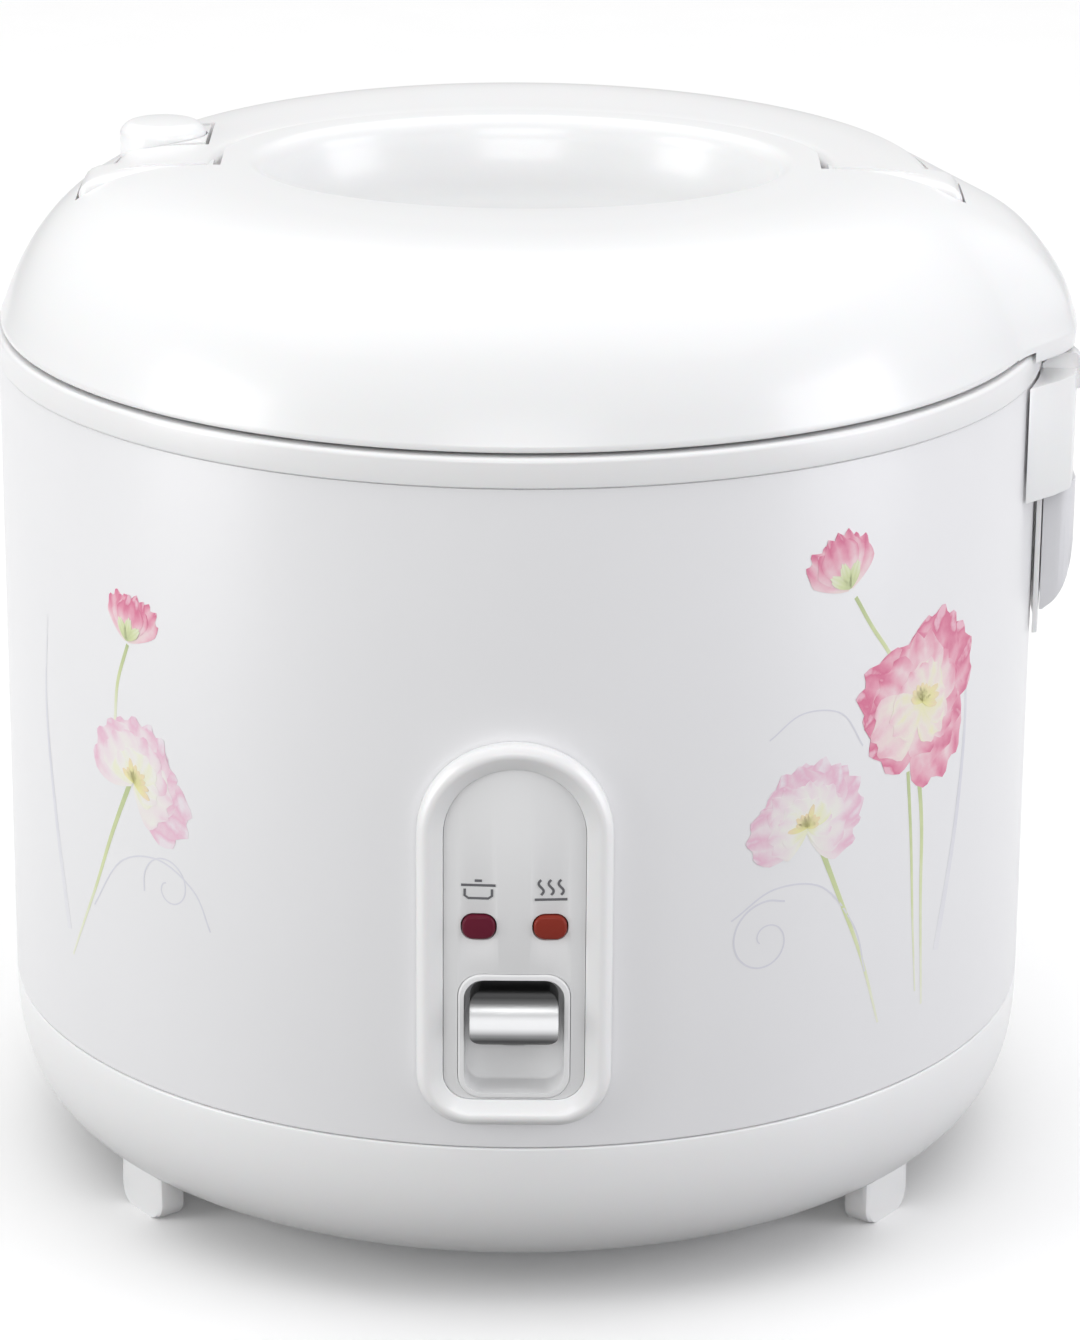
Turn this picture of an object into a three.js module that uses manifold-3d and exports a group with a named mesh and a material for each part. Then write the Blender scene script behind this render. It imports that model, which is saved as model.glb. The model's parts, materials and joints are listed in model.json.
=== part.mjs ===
// Rice cooker, five-cup size, with a lid that opens sideways. Millimetres, +Z up, front towards -Y.
// Every piece is drawn about the body's upright axis, and one group moves them all so that the
// origin lies under the middle of the whole object, on the table.

import * as THREE from 'three';
import { mergeVertices } from 'three/addons/utils/BufferGeometryUtils.js';
import Module from 'manifold-3d';

const wasm = await Module();
wasm.setup();

// Driving dimensions
const BODY_R = 125; // outer radius of the round body
const SEGMENTS = 24; // sides of the large round pieces, which nest and so share their facets
const GAP = 0.3; // clearance between pieces that rest on each other
const SHEET = 1; // steel sheet of the outer shell and the inner wall
const WALL = 2; // moulded plastic wall
const BASE_TOP = 44; // seam between the base and the shell
const SHELL_TOP = 200.1; // seam between the shell and the shoulder ring
const RING_TOP = 207.3; // top of the shoulder ring
const UNDERSIDE = 8; // height of the base's flat underside, which the feet carry
const LID_FOOT = 208.2; // lower edge of the lid
const CROWN = 244.9; // top of the lid
const FOOT_R = 104.5; // inner face of each foot, from the body's axis
const STUD_R = 107.5; // stud that holds each foot
const AXIS_X = -4.25; // place of the body's axis in the object's frame
const AXIS_Y = 0.65;

// Lid hinge, on the right, with its axis along Y
const HINGE = { x: 129.2, z: 199, pinR: 1.8, earR: 4, cheekR: 4.8, shift: 9.6 };
// Carry handle, a band that lies in the lid behind the pivot line
const HANDLE = {
  outerR: 98.3, innerX: 73.3, innerY: 57.3, bottom: 233.8, pivotZ: 237.5, barrelR: 9.4,
  endX: 105, // outer end of the barrels, past the band
  islandX: 71.2, // flat end of the lid's island between the barrels
  islandGap: 1, // gap between the island and the band's inner edge
  clearance: 0.5, // gap around the band and the barrels
};
// Recess in the middle of the lid
const RECESS = { rx: 62.3, ry: 48, floor: 224 };
// Release button and latch, on the left
const LATCH = { x: -104, y: 29, z: 219, buttonX: -87.5, halfWidth: 3 };
// Steam vent, in the recess floor
const VENT = { x: 0, y: -20, capR: 11, stubR: 7.5 };
// Control panel, on the front
const PANEL = { halfWidth: 22, bottom: 51.9, top: 143.8, rim: 6, lampX: 8, lampZ: 99.7 };
// Cook switch
const KNOB = { halfWidth: 10, bottom: 70, top: 83.5, front: -129.2, back: -120.5 };
const LEVER = { pivotY: -48, z: 46, frontY: -111, endY: 3, halfWidth: 3 };
// Cord inlet, at the back
const INLET = { halfWidth: 14.6, bottom: 50.4, top: 75.6, z: 63 };
// Inner pot and its heater
const POT = { r: 97, bottom: 78, top: 203.7, wall: 1.8, flangeR: 110 };

const FINISH = {
  gloss: { color: 0xf4f4f5, roughness: 0.25, metalness: 0 },
  painted: { color: 0xf1f1f4, roughness: 0.35, metalness: 0.1 },
  panel: { color: 0xdcdde0, roughness: 0.45, metalness: 0 },
  silver: { color: 0xb9bcc0, roughness: 0.35, metalness: 0.7 },
  cookLens: { color: 0x7a1030, roughness: 0.2, metalness: 0 },
  warmLens: { color: 0xd8502a, roughness: 0.2, metalness: 0 },
  smoke: { color: 0xb4b8bd, roughness: 0.25, metalness: 0 },
  aluminium: { color: 0xb8babd, roughness: 0.4, metalness: 1 },
  nonstick: { color: 0x4c4d50, roughness: 0.5, metalness: 0.3 },
  steel: { color: 0x9fa2a6, roughness: 0.35, metalness: 1 },
  silicone: { color: 0xd6d7d8, roughness: 0.6, metalness: 0 },
  black: { color: 0x1d1d1f, roughness: 0.55, metalness: 0 },
  brass: { color: 0xb5924c, roughness: 0.35, metalness: 1 },
  glass: { color: 0xe9dccb, roughness: 0.1, metalness: 0 },
  board: { color: 0xb09a5e, roughness: 0.7, metalness: 0 },
};

// ---- Solids ----

// A closed geometry as a solid, with its faces pointing out.
function solid(geometry) {
  geometry.deleteAttribute('normal');
  geometry.deleteAttribute('uv');
  const merged = mergeVertices(geometry, 1e-4);
  const p = merged.attributes.position.array;
  const index = merged.index.array;
  const kept = [];
  let volume = 0;
  for (let i = 0; i < index.length; i += 3) {
    const [a, b, c] = [index[i], index[i + 1], index[i + 2]];
    if (a === b || b === c || c === a) continue;
    kept.push([a, b, c]);
    const [A, B, C] = [a, b, c].map((k) => new THREE.Vector3(p[3 * k], p[3 * k + 1], p[3 * k + 2]));
    volume += A.dot(B.cross(C));
  }
  const triVerts = Uint32Array.from(kept.flatMap(([a, b, c]) => (volume < 0 ? [a, c, b] : [a, b, c])));
  return new wasm.Manifold(new wasm.Mesh({ numProp: 3, vertProperties: p, triVerts }));
}

// A round solid from its profile of [radius, height] points. A profile off the axis is closed.
function lathe(profile, { segments = SEGMENTS, x = 0, y = 0, flatten = 1 } = {}) {
  const last = profile[profile.length - 1];
  const onAxis = profile[0][0] === 0 && last[0] === 0;
  const points = onAxis ? profile : [...profile, profile[0]];
  const geometry = new THREE.LatheGeometry(points.map(([r, z]) => new THREE.Vector2(r, z)), segments);
  geometry.rotateX(Math.PI / 2);
  geometry.scale(1, flatten, 1);
  return solid(geometry.translate(x, y, 0));
}

function disc(r, z0, z1, place) {
  return lathe([[0, z0], [r, z0], [r, z1], [0, z1]], place);
}

function ring(r0, r1, z0, z1, place) {
  return lathe([[r0, z0], [r1, z0], [r1, z1], [r0, z1]], place);
}

function box(x0, x1, y0, y1, z0, z1) {
  const geometry = new THREE.BoxGeometry(x1 - x0, y1 - y0, z1 - z0);
  return solid(geometry.translate((x0 + x1) / 2, (y0 + y1) / 2, (z0 + z1) / 2));
}

function rodX(r, x0, x1, y, z, segments = 16) {
  const geometry = new THREE.CylinderGeometry(r, r, x1 - x0, segments).rotateZ(Math.PI / 2);
  return solid(geometry.translate((x0 + x1) / 2, y, z));
}

function rodY(r, y0, y1, x, z, segments = 16) {
  return solid(new THREE.CylinderGeometry(r, r, y1 - y0, segments).translate(x, (y0 + y1) / 2, z));
}

function rodZ(r, z0, z1, x, y, segments = 12) {
  return disc(r, z0, z1, { segments, x, y });
}

// A shape drawn in X and Z, as a slab from y0 forwards to y1.
function frontSlab(shape, y0, y1, curveSegments = 6) {
  const geometry = new THREE.ExtrudeGeometry(shape, { depth: y0 - y1, bevelEnabled: false, curveSegments });
  return solid(geometry.rotateX(Math.PI / 2).translate(0, y0, 0));
}

// A shape drawn in X and Y, as a slab from z0 up to z1.
function slab(shape, z0, z1, curveSegments = 8) {
  const geometry = new THREE.ExtrudeGeometry(shape, { depth: z1 - z0, bevelEnabled: false, curveSegments });
  return solid(geometry.translate(0, 0, z0));
}

function polygon(points) {
  return new THREE.Shape(points.map(([x, y]) => new THREE.Vector2(x, y)));
}

// A rectangle with round corners.
function roundRect(x0, x1, z0, z1, r) {
  const shape = new THREE.Shape();
  shape.moveTo(x0 + r, z0);
  shape.absarc(x1 - r, z0 + r, r, -Math.PI / 2, 0);
  shape.absarc(x1 - r, z1 - r, r, 0, Math.PI / 2);
  shape.absarc(x0 + r, z1 - r, r, Math.PI / 2, Math.PI);
  shape.absarc(x0 + r, z0 + r, r, Math.PI, Math.PI * 1.5);
  return shape;
}

// The panel's outline: a half circle at the top and two small round corners below.
function panelOutline(inset, corner) {
  const w = PANEL.halfWidth - inset;
  const [z0, z1] = [PANEL.bottom + inset, PANEL.top - inset];
  const shape = new THREE.Shape();
  shape.moveTo(-w + corner, z0);
  shape.absarc(w - corner, z0 + corner, corner, -Math.PI / 2, 0);
  shape.absarc(0, z1 - w, w, 0, Math.PI);
  shape.absarc(-w + corner, z0 + corner, corner, Math.PI, Math.PI * 1.5);
  return shape;
}

class Helix extends THREE.Curve {
  constructor(radius, length, turns) {
    super();
    Object.assign(this, { radius, length, turns });
  }
  getPoint(t) {
    const angle = 2 * Math.PI * this.turns * t;
    return new THREE.Vector3(this.radius * Math.cos(angle), this.radius * Math.sin(angle), this.length * t);
  }
}

// A coil spring that stands on z = 0.
function coil(radius, wire, height, turns) {
  const section = new THREE.Shape().absarc(0, 0, wire, 0, 2 * Math.PI);
  const path = new Helix(radius, height - 2 * wire, turns);
  const options = { steps: 8 * turns, extrudePath: path, curveSegments: 4, bevelEnabled: false };
  return new THREE.ExtrudeGeometry(section, options).translate(0, 0, wire);
}

// ---- Profiles ----

// The bowl-shaped base: a rounded corner of height h and width w, from its foot to its rim.
function cornerCurve(r0, z0, w, h, steps) {
  const power = 2 / 2.6;
  return Array.from({ length: steps + 1 }, (_, i) => {
    const t = (Math.PI / 2) * (1 - i / steps);
    return [r0 + w * Math.max(Math.cos(t), 0) ** power, z0 + h * (1 - Math.sin(t) ** power)];
  });
}

// The lid's dome, grown outwards by d and closed down to the height of its foot.
function dome(d, foot, place) {
  const rim = [[124.4, 208.2], [121.8, 215.5], [118.2, 222.8], [112.4, 231]];
  const top = [[105.8, 237], [96.5, 241.7], [82, 244.5]];
  const grown = [
    ...rim.map(([r, z]) => [r + d, z + d * 0.2]),
    ...top.map(([r, z]) => [r + d * 0.5, z + d]),
  ];
  return lathe([[0, foot], [grown[0][0], foot], ...grown, [0, CROWN + d]], place);
}

// The recess in the lid, grown outwards by d.
function recess(d) {
  const wall = [[47, 0], [54.5, 4.2], [60, 14], [RECESS.rx, 24]];
  const points = wall.map(([r, z]) => [r + d, RECESS.floor + z - (z < 5 ? d : 0)]);
  return lathe([[0, RECESS.floor - d], ...points, [0, RECESS.floor + 24]], { flatten: RECESS.ry / RECESS.rx });
}

// The room for the handle in the lid, grown outwards by d.
function handleRoom(d) {
  const grow = HANDLE.clearance + d;
  const outer = disc(HANDLE.outerR + grow, HANDLE.bottom - grow, 260);
  const rx = HANDLE.innerX - HANDLE.islandGap - d;
  const ry = HANDLE.innerY - HANDLE.islandGap - d;
  const islandX = HANDLE.islandX - d;
  const inner = disc(rx, 220, 261, { flatten: ry / rx }).intersect(box(-islandX, islandX, -90, 90, 210, 262));
  const behind = box(-120, 120, -1, 120, 220, 261);
  const barrelX = HANDLE.endX + grow;
  const barrels = rodX(HANDLE.barrelR + grow, -barrelX, barrelX, 0, HANDLE.pivotZ, 24).subtract(inner);
  return outer.intersect(behind).subtract(inner).add(barrels);
}

// ---- Body ----

function outerShell() {
  const window = frontSlab(panelOutline(PANEL.rim - 0.4, 5), -110, -135);
  const inletHole = box(-INLET.halfWidth - 0.4, INLET.halfWidth + 0.4, 110, 135, 50, INLET.top + 0.4);
  return ring(BODY_R - SHEET, BODY_R, BASE_TOP + GAP, SHELL_TOP).subtract(window).subtract(inletHole);
}

function shoulderRing() {
  const body = lathe([
    [125.5, 200.5], [125.5, 206.8], [125, RING_TOP], [120.5, RING_TOP], [113, 204], [112.4, 201.8],
    [105, 201.8], [105, 200.2], [120.5, 200.2], [121.9, 198], [121.9, 190], [123.6, 190], [123.6, 200.5],
  ]);
  const latchPocket = box(-119.4, -109, LATCH.y - 4.5, LATCH.y + 4.5, 201.4, 208);
  return body.subtract(latchPocket);
}

function baseShell() {
  const outer = cornerCurve(93, UNDERSIDE, 32, BASE_TOP - UNDERSIDE, 6);
  const inner = cornerCurve(92.6, 12.9, 29.2, 29.1, 4).reverse();
  const lip = [[123.6, BASE_TOP], [123.6, 50], [121.8, 50]];
  const rebate = [[84, 12.9], [84, 10.7], [92.5, 10.7], [92.5, UNDERSIDE]];
  let body = lathe([...outer, ...lip, ...inner, ...rebate]);
  for (const [x, y] of footPlaces()) body = body.subtract(rodZ(2.9, 0, 30, x, y));
  for (const [x, y] of screwPlaces()) body = body.add(rodZ(4, 11, 18, x, y)).subtract(rodZ(1.7, 8, 17, x, y));
  return body;
}

function screwPlaces() {
  return [45, 135, 225, 315].map((degrees) => {
    const angle = THREE.MathUtils.degToRad(degrees);
    return [88.2 * Math.cos(angle), 88.2 * Math.sin(angle)];
  });
}

function footPlaces() {
  return [-144, -36, 36, 144].map((degrees) => {
    const angle = THREE.MathUtils.degToRad(degrees);
    return [STUD_R * Math.cos(angle), STUD_R * Math.sin(angle)];
  });
}

function bottomCover() {
  let plate = disc(92.2, UNDERSIDE, 10.4);
  for (const [x, y] of screwPlaces()) {
    plate = plate.subtract(rodZ(3.3, 7, 9.6, x, y)).subtract(rodZ(1.7, 7, 12, x, y));
  }
  const slotPitch = 9;
  for (let i = -1; i <= 1; i += 1) {
    for (const side of [-1, 1]) {
      const [x, y] = [i * slotPitch, side * 45];
      plate = plate.subtract(box(x - 1.8, x + 1.8, y - 12, y + 12, 7, 12));
    }
  }
  return plate;
}

function coverScrew(x, y) {
  return rodZ(3, 8.1, 9.3, x, y).add(rodZ(1.3, 9, 16.5, x, y, 8));
}

// A foot is a rounded fin that stands across the radius, moulded with a stud that holds it.
function foot(angle) {
  const fin = frontSlab(roundRect(-9.5, 9.5, 0, 30, 4), 0, -7, 4);
  const keepOut = lathe([...cornerCurve(93, UNDERSIDE - GAP, 32 + GAP, 36, 6), [125.3, 60], [0, 60], [0, 7.7]]);
  const geometry = meshGeometry(fin);
  geometry.rotateZ(angle + Math.PI / 2).translate(FOOT_R * Math.cos(angle), FOOT_R * Math.sin(angle), 0);
  const stud = rodZ(2.5, 4, 17, STUD_R * Math.cos(angle), STUD_R * Math.sin(angle), 16);
  return solid(geometry).subtract(keepOut).add(stud);
}

// ---- Control panel ----

function controlBezel() {
  const frame = frontSlab(panelOutline(0, 12), -110, -135)
    .subtract(frontSlab(panelOutline(PANEL.rim, 5), -105, -140));
  return frame.intersect(ring(BODY_R + GAP, 129.5, 40, 160));
}

function pill(x, halfWidth, halfHeight, grow) {
  const [w, h] = [halfWidth + grow, halfHeight + grow];
  return roundRect(x - w, x + w, PANEL.lampZ - h, PANEL.lampZ + h, h - 0.4);
}

function controlFace() {
  let face = frontSlab(panelOutline(PANEL.rim + 0.3, 5), -110, -135)
    .intersect(ring(124.2, 126.8, 40, 160));
  face = face.subtract(frontSlab(roundRect(-12.9, 12.9, 58.3, 88, 3), -110, -135, 4));
  for (const side of [-1, 1]) {
    face = face.subtract(frontSlab(pill(side * PANEL.lampX, 3.75, 2.9, GAP), -110, -135, 4));
  }
  return face;
}

function lens(side) {
  return frontSlab(pill(side * PANEL.lampX, 3.75, 2.9, 0), -123.6, -127.4, 4);
}

function lamp(side) {
  return rodY(2.5, -121.5, -112.5, side * PANEL.lampX, PANEL.lampZ, 12);
}

function lampBoard() {
  return box(-14, 14, -112.2, -110.7, 92, 108);
}

function switchWell() {
  const tub = frontSlab(roundRect(-12.6, 12.6, 58.6, 87.7, 2.5), -117, -127, 3);
  const hollow = frontSlab(roundRect(-11.4, 11.4, 59.8, 86.5, 1.5), -118.5, -130, 2);
  const stemSlot = box(-2.4, 2.4, -120, -115, 66.8, 79.7);
  return tub.subtract(hollow).subtract(stemSlot);
}

function switchKnob() {
  const { halfWidth, bottom, top, front, back } = KNOB;
  const cap = frontSlab(roundRect(-halfWidth, halfWidth, bottom, top, 3), back, front, 4);
  const middle = (bottom + top) / 2;
  const crown = rodX(8.6, -20, 20, front + 8.6, middle, 40);
  const rounded = cap.intersect(crown.add(box(-20, 20, front + 4, back + 1, bottom - 1, top + 1)));
  return rounded.add(box(-2, 2, back - 1, -108, 74.5, 79));
}

function switchLever() {
  const { pivotY, z, frontY, endY, halfWidth } = LEVER;
  return box(-halfWidth, halfWidth, frontY, endY, z - 1, z + 1)
    .add(box(-halfWidth, halfWidth, frontY, frontY + 2, z - 1, 74.1))
    .add(rodX(3.2, -halfWidth, halfWidth, pivotY, z, 16))
    .subtract(rodX(1.8, -halfWidth - 1, halfWidth + 1, pivotY, z, 16));
}

function leverBracket() {
  const { pivotY, z } = LEVER;
  const plate = box(-5.4, 16, pivotY - 6, pivotY + 6, 54.4, 55.6);
  const leftEar = box(-5.4, -4, pivotY - 5, pivotY + 5, z - 4, 55);
  const rightEar = box(4, 5.4, pivotY - 5, pivotY + 5, z - 4, 55);
  return plate.add(leftEar).add(rightEar).subtract(rodX(1.8, -7, 7, pivotY, z, 16));
}

function leverPin() {
  return rodX(1.5, -6.6, 6.6, LEVER.pivotY, LEVER.z, 12);
}

function microswitch() {
  return box(7.6, 15.6, -60, -40, 44, 54.1).add(box(10, 13, -52, -50, 42.6, 45));
}

// ---- Heating ----

function innerWall() {
  let wall = lathe([
    [18, 56], [103, 56], [103, 198.7], [107, 198.7], [107, 199.9], [102, 199.9], [102, 57.2], [18, 57.2],
  ]);
  for (const side of [-1, 1]) wall = wall.subtract(rodZ(2.6, 50, 60, side * 10, 49, 12));
  return wall;
}

function sideHeaterBand() {
  return ring(103.3, 104.3, 120, 150);
}

function heaterPlate() {
  let plate = lathe([[19.5, 69], [74, 69], [74, 75.6], [60, 77.5], [19.5, 77.5]]);
  for (const degrees of [30, 150, 270]) {
    const angle = THREE.MathUtils.degToRad(degrees);
    plate = plate.add(rodZ(3, 57.5, 70, 62 * Math.cos(angle), 62 * Math.sin(angle), 12));
  }
  return plate;
}

function heaterElement() {
  const loop = solid(new THREE.TorusGeometry(50, 3.3, 8, SEGMENTS).translate(0, 0, 65.4));
  return loop.add(rodZ(1.6, 52.5, 65, -10, 49, 10)).add(rodZ(1.6, 52.5, 65, 10, 49, 10));
}

function thermalFuse() {
  return rodX(2, -12, 12, 34, 53.4, 12);
}

function innerPot() {
  const { r, bottom, top, wall, flangeR } = POT;
  const corner = 15;
  const arc = (radius, steps) => Array.from({ length: steps + 1 }, (_, i) => {
    const t = (Math.PI / 2) * (i / steps);
    return [r - corner + radius * Math.sin(t), bottom + corner - radius * Math.cos(t)];
  });
  const inside = arc(corner - wall, 4).reverse();
  return lathe([
    [0, bottom], ...arc(corner, 4), [r, top - 1.6], [flangeR, top - 1.6], [flangeR, top], [r - wall, top],
    ...inside, [0, bottom + wall],
  ]);
}

function thermostatHousing() {
  return lathe([
    [5.2, 52], [17.2, 52], [17.2, 57.5], [24, 57.5], [24, 58.9],
    [17.2, 58.9], [17.2, 66], [15.6, 66], [15.6, 53.4], [5.2, 53.4],
  ], { segments: 24 });
}

function thermostatMagnet() {
  return disc(9, 54, 62, { segments: 20 }).add(disc(2, 47.5, 55, { segments: 12 }));
}

function sensorCap() {
  return lathe([[0, 75.4], [14, 75.4], [14, 68], [15.2, 68], [15.2, 76.6], [14.2, 77.4], [0, 77.4]], { segments: 24 });
}

function sensorFerrite() {
  return disc(11, 70, 75.1, { segments: 20 });
}

function sensorSpring() {
  return solid(coil(12.6, 0.45, 21.2, 3).translate(0, 0, 53.7));
}

// ---- Cord inlet ----

function inletHousing() {
  const { halfWidth, bottom, top } = INLET;
  const block = box(-halfWidth, halfWidth, 106, 127, bottom, top);
  const flange = box(-18, 18, 110, 135, 47, 79).intersect(ring(BODY_R + GAP, 128.2, 40, 90));
  const socket = box(-11, 11, 109, 140, 54, 72);
  return block.intersect(disc(128.2, 40, 90)).add(flange).subtract(socket).subtract(inletPinHoles());
}

function inletPinHoles() {
  return rodY(2.4, 100, 112, -5, INLET.z, 12).add(rodY(2.4, 100, 112, 5, INLET.z, 12));
}

function inletPin(side) {
  return rodY(2, 104.6, 121, side * 5, INLET.z, 12);
}

// ---- Hinge and dew collector ----

// The plan of the hinge's bracket and housing: blunt outside, flaring back to the round body.
function hingePlan(d) {
  return polygon([
    [140, -20 - d], [140, 20 + d], [134, 22.5 + d], [127, 32 + d], [117, 42 + d], [96, 44 + d],
    [96, -44 - d], [117, -42 - d], [127, -32 - d], [134, -22.5 - d],
  ]);
}

function hingeBracket() {
  const { x, z, pinR, cheekR, shift } = HINGE;
  const block = disc(BODY_R - 0.6, 172, 200, { x: shift }).intersect(slab(hingePlan(0), 160, 205));
  const pocket = disc(BODY_R - 2.4, 160, 191, { x: shift }).intersect(slab(hingePlan(-1.8), 150, 191));
  const trough = box(120, 140, -13, 13, 193.4, 210);
  const drain = box(128, 131.5, -6, 6, 180, 200);
  const backPlate = ring(125.8, 127, 134, 192).intersect(box(110, 140, -21, 21, 130, 192));
  let bracket = block.subtract(pocket).add(backPlate).subtract(trough).subtract(drain);
  for (const side of [-1, 1]) {
    const [y0, y1] = side < 0 ? [-20.4, -13.3] : [13.3, 20.4];
    bracket = bracket.add(rodY(cheekR, y0, y1, x, z, 24)).add(box(x - cheekR, x + cheekR, y0, y1, 192, z));
  }
  return bracket.subtract(disc(125.8, 120, 205)).subtract(rodY(pinR + 0.3, -18.6, 18.6, x, z));
}

function hingePin() {
  return rodY(HINGE.pinR, -18.2, 18.2, HINGE.x, HINGE.z, 16);
}

function hingeSpring() {
  const geometry = coil(2.9, 0.45, 11.6, 4).rotateX(-Math.PI / 2);
  return solid(geometry.translate(HINGE.x, -5.8, HINGE.z));
}

function dewCollector() {
  const outline = [
    [100, 180], [133.8, 180], [133.8, 160], [133.4, 153],
    [131.9, 146.5], [129.6, 142.3], [126.5, 139.5], [100, 139.5],
  ];
  const cup = (inset, z0, z1) => slab(roundRect(100, 133.8 - inset, -19.6 + inset, 19.6 - inset, 4), z0, z1, 3)
    .intersect(frontSlab(polygon(outline.map(([x, z]) => [x - inset, z + inset])), 30, -30))
    .subtract(disc(127.3 + inset, z0 - 1, z1 + 1));
  return cup(0, 139.5, 171.5).subtract(cup(1, 140.7, 180));
}

// ---- Latch ----

function latchCatch() {
  const [y0, y1] = [LATCH.y - 4.1, LATCH.y + 4.1];
  return box(-119.1, -110.2, y0, y1, 201.7, 202.1).add(box(-111.6, -110.2, y0, y1, 201.7, 206.4));
}

function latchHook() {
  const [y0, y1] = [LATCH.y + LATCH.halfWidth, LATCH.y - LATCH.halfWidth];
  const outline = polygon([
    [-107.5, 220], [-111.6, 213], [-114.4, 207], [-114.4, 202.5], [-112.1, 202.5], [-112.1, 204.2],
    [-112.8, 204.2], [-112.8, 207.3], [-109.5, 213], [-104, 217], [-85.5, 217.6], [-85.5, 220.6],
  ]);
  return frontSlab(outline, y0, y1)
    .add(rodY(4, y1, y0, LATCH.x, LATCH.z, 16))
    .subtract(rodY(1.8, y1 - 1, y0 + 1, LATCH.x, LATCH.z, 16));
}

function latchPin() {
  return rodY(1.5, LATCH.y - 7, LATCH.y + 7, LATCH.x, LATCH.z, 12);
}

function buttonBody(grow, z0, z1) {
  return disc(10.5 + grow, z0, z1, { segments: 28, x: LATCH.buttonX, y: LATCH.y, flatten: 0.95 });
}

function releaseButton() {
  const top = lathe([[0, 236.5], [10.5, 236.5], [10.5, 245], [9.2, 247], [6, 248], [0, 248.2]], {
    segments: 28, x: LATCH.buttonX, y: LATCH.y, flatten: 0.95,
  });
  const hollow = disc(8, 230, 245.6, { segments: 20, x: LATCH.buttonX, y: LATCH.y });
  return top.subtract(hollow).add(rodZ(2.5, 221, 246, LATCH.buttonX, LATCH.y, 12));
}

function releaseSpring() {
  return solid(coil(5.2, 0.45, 11.7, 3).translate(LATCH.buttonX, LATCH.y, 233.6));
}

// ---- Lid ----

// The solid part of the lid that stands in the handle's room, around the release button.
function buttonIsland() {
  return box(-108, -76.4, LATCH.y - 10.8, LATCH.y + 11.2, 228, 260);
}

// The housing that bulges over the hinge, as part of the lid, drawn in by d.
function hingeHousing(d, foot) {
  const ridge = [
    [96, 238.6], [106.3, 237], [111.1, 235.1], [116.7, 232.3], [121.2, 229.2],
    [124.9, 225.3], [128.2, 220.3], [131, 215.7], [132.4, 211.2],
  ];
  const outline = [[96, foot], ...ridge, [133.2, foot]];
  return frontSlab(polygon(outline.map(([x, z]) => [x - d, z === foot ? z : z - d])), 60, -60)
    .intersect(slab(hingePlan(-d), 200, 250));
}

function outerLid() {
  const room = handleRoom(0).subtract(buttonIsland());
  const inside = dome(-WALL, 200).add(hingeHousing(1.6, 200)).subtract(recess(WALL)).subtract(handleRoom(WALL));
  const skirt = hingeHousing(0, 205.3).subtract(disc(126.3, 200, LID_FOOT));
  const pinHoles = rodX(2.5, -80, 80, 0, HANDLE.pivotZ, 12).subtract(box(-66, 66, -5, 5, 225, 250));
  return dome(0, LID_FOOT)
    .add(skirt)
    .subtract(recess(0))
    .subtract(room)
    .subtract(inside)
    .subtract(buttonBody(0.4, 233.3, 260))
    .subtract(rodZ(3, 225, 240, LATCH.buttonX, LATCH.y))
    .subtract(pinHoles)
    .subtract(rodZ(VENT.stubR + 0.4, 215, 240, VENT.x, VENT.y));
}

function lidBase() {
  const slot = box(-118.4, -105, LATCH.y - 4, LATCH.y + 4, 200, 212);
  return disc(119.2, 209, 211).subtract(slot).subtract(rodZ(11.3, 200, 220, VENT.x, VENT.y));
}

function lidHingeArm() {
  const { x, z, pinR, earR } = HINGE;
  let arm = box(98, x - 1.8, -12.4, 12.4, 211.4, 214.5);
  for (const [y0, y1] of [[-12.4, -7], [7, 12.4]]) {
    arm = arm.add(rodY(earR, y0, y1, x, z)).add(box(x - 3.2, x - 1.2, y0, y1, z, 214.5));
  }
  return arm.subtract(rodY(pinR + 0.3, -25, 25, x, z));
}

function innerLid() {
  return disc(103.4, 204.8, 205.8).subtract(rodZ(12, 200, 220, VENT.x, VENT.y)).subtract(rodZ(4.4, 200, 220, 0, 0));
}

function innerLidGasket() {
  return lathe([[103.8, 204.4], [108.6, 204.2], [108.6, 205], [106.2, 206.6], [106.2, 208], [103.8, 208]]);
}

function innerLidHolder() {
  return disc(4, 202.6, 208.7, { segments: 16 }).add(disc(7, 206.1, 207.3, { segments: 16 }));
}

function steamVentTube() {
  return lathe([[8.6, 204], [10.6, 204], [10.6, 208], [13.4, 208], [13.4, 208.7], [10.6, 208.7], [10.6, 221.6],
    [8.6, 221.6]], { segments: 20, x: VENT.x, y: VENT.y });
}

function steamVentCap() {
  const place = { segments: 20, x: VENT.x, y: VENT.y };
  const cap = lathe([[0, 226.6], [6, 226.6], [6, 214], [VENT.stubR, 214], [VENT.stubR, RECESS.floor + 0.4],
    [VENT.capR, RECESS.floor + 0.4], [VENT.capR, 227.4], [9.6, 228.6], [0, 228.6]], place);
  const holes = [-3, 3].map((x) => box(x - 1.2, x + 1.2, VENT.y - 3.5, VENT.y + 3.5, 225, 230));
  return cap.subtract(holes[0]).subtract(holes[1]);
}

function carryHandle() {
  const flatten = HANDLE.innerY / HANDLE.innerX;
  const band = disc(HANDLE.outerR, HANDLE.bottom, 260).intersect(box(-120, 120, 0, 120, 220, 260));
  const barrels = rodX(HANDLE.barrelR, -HANDLE.endX, HANDLE.endX, 0, HANDLE.pivotZ, 24);
  const top = lathe([
    [0, 210], [105.6, 210], [105.6, 238.4], [104.4, 240.6], [101, 242.4], [95, 243.8], [88, 244.4], [0, 244.4],
  ]);
  const notch = box(-108, -75.6, LATCH.y - 11.6, LATCH.y + 14.2, 220, 260);
  return band
    .add(barrels)
    .intersect(top)
    .subtract(disc(HANDLE.innerX, 210, 270, { flatten }))
    .subtract(notch)
    .subtract(rodX(2.5, -79.5, 79.5, 0, HANDLE.pivotZ, 12));
}

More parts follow.
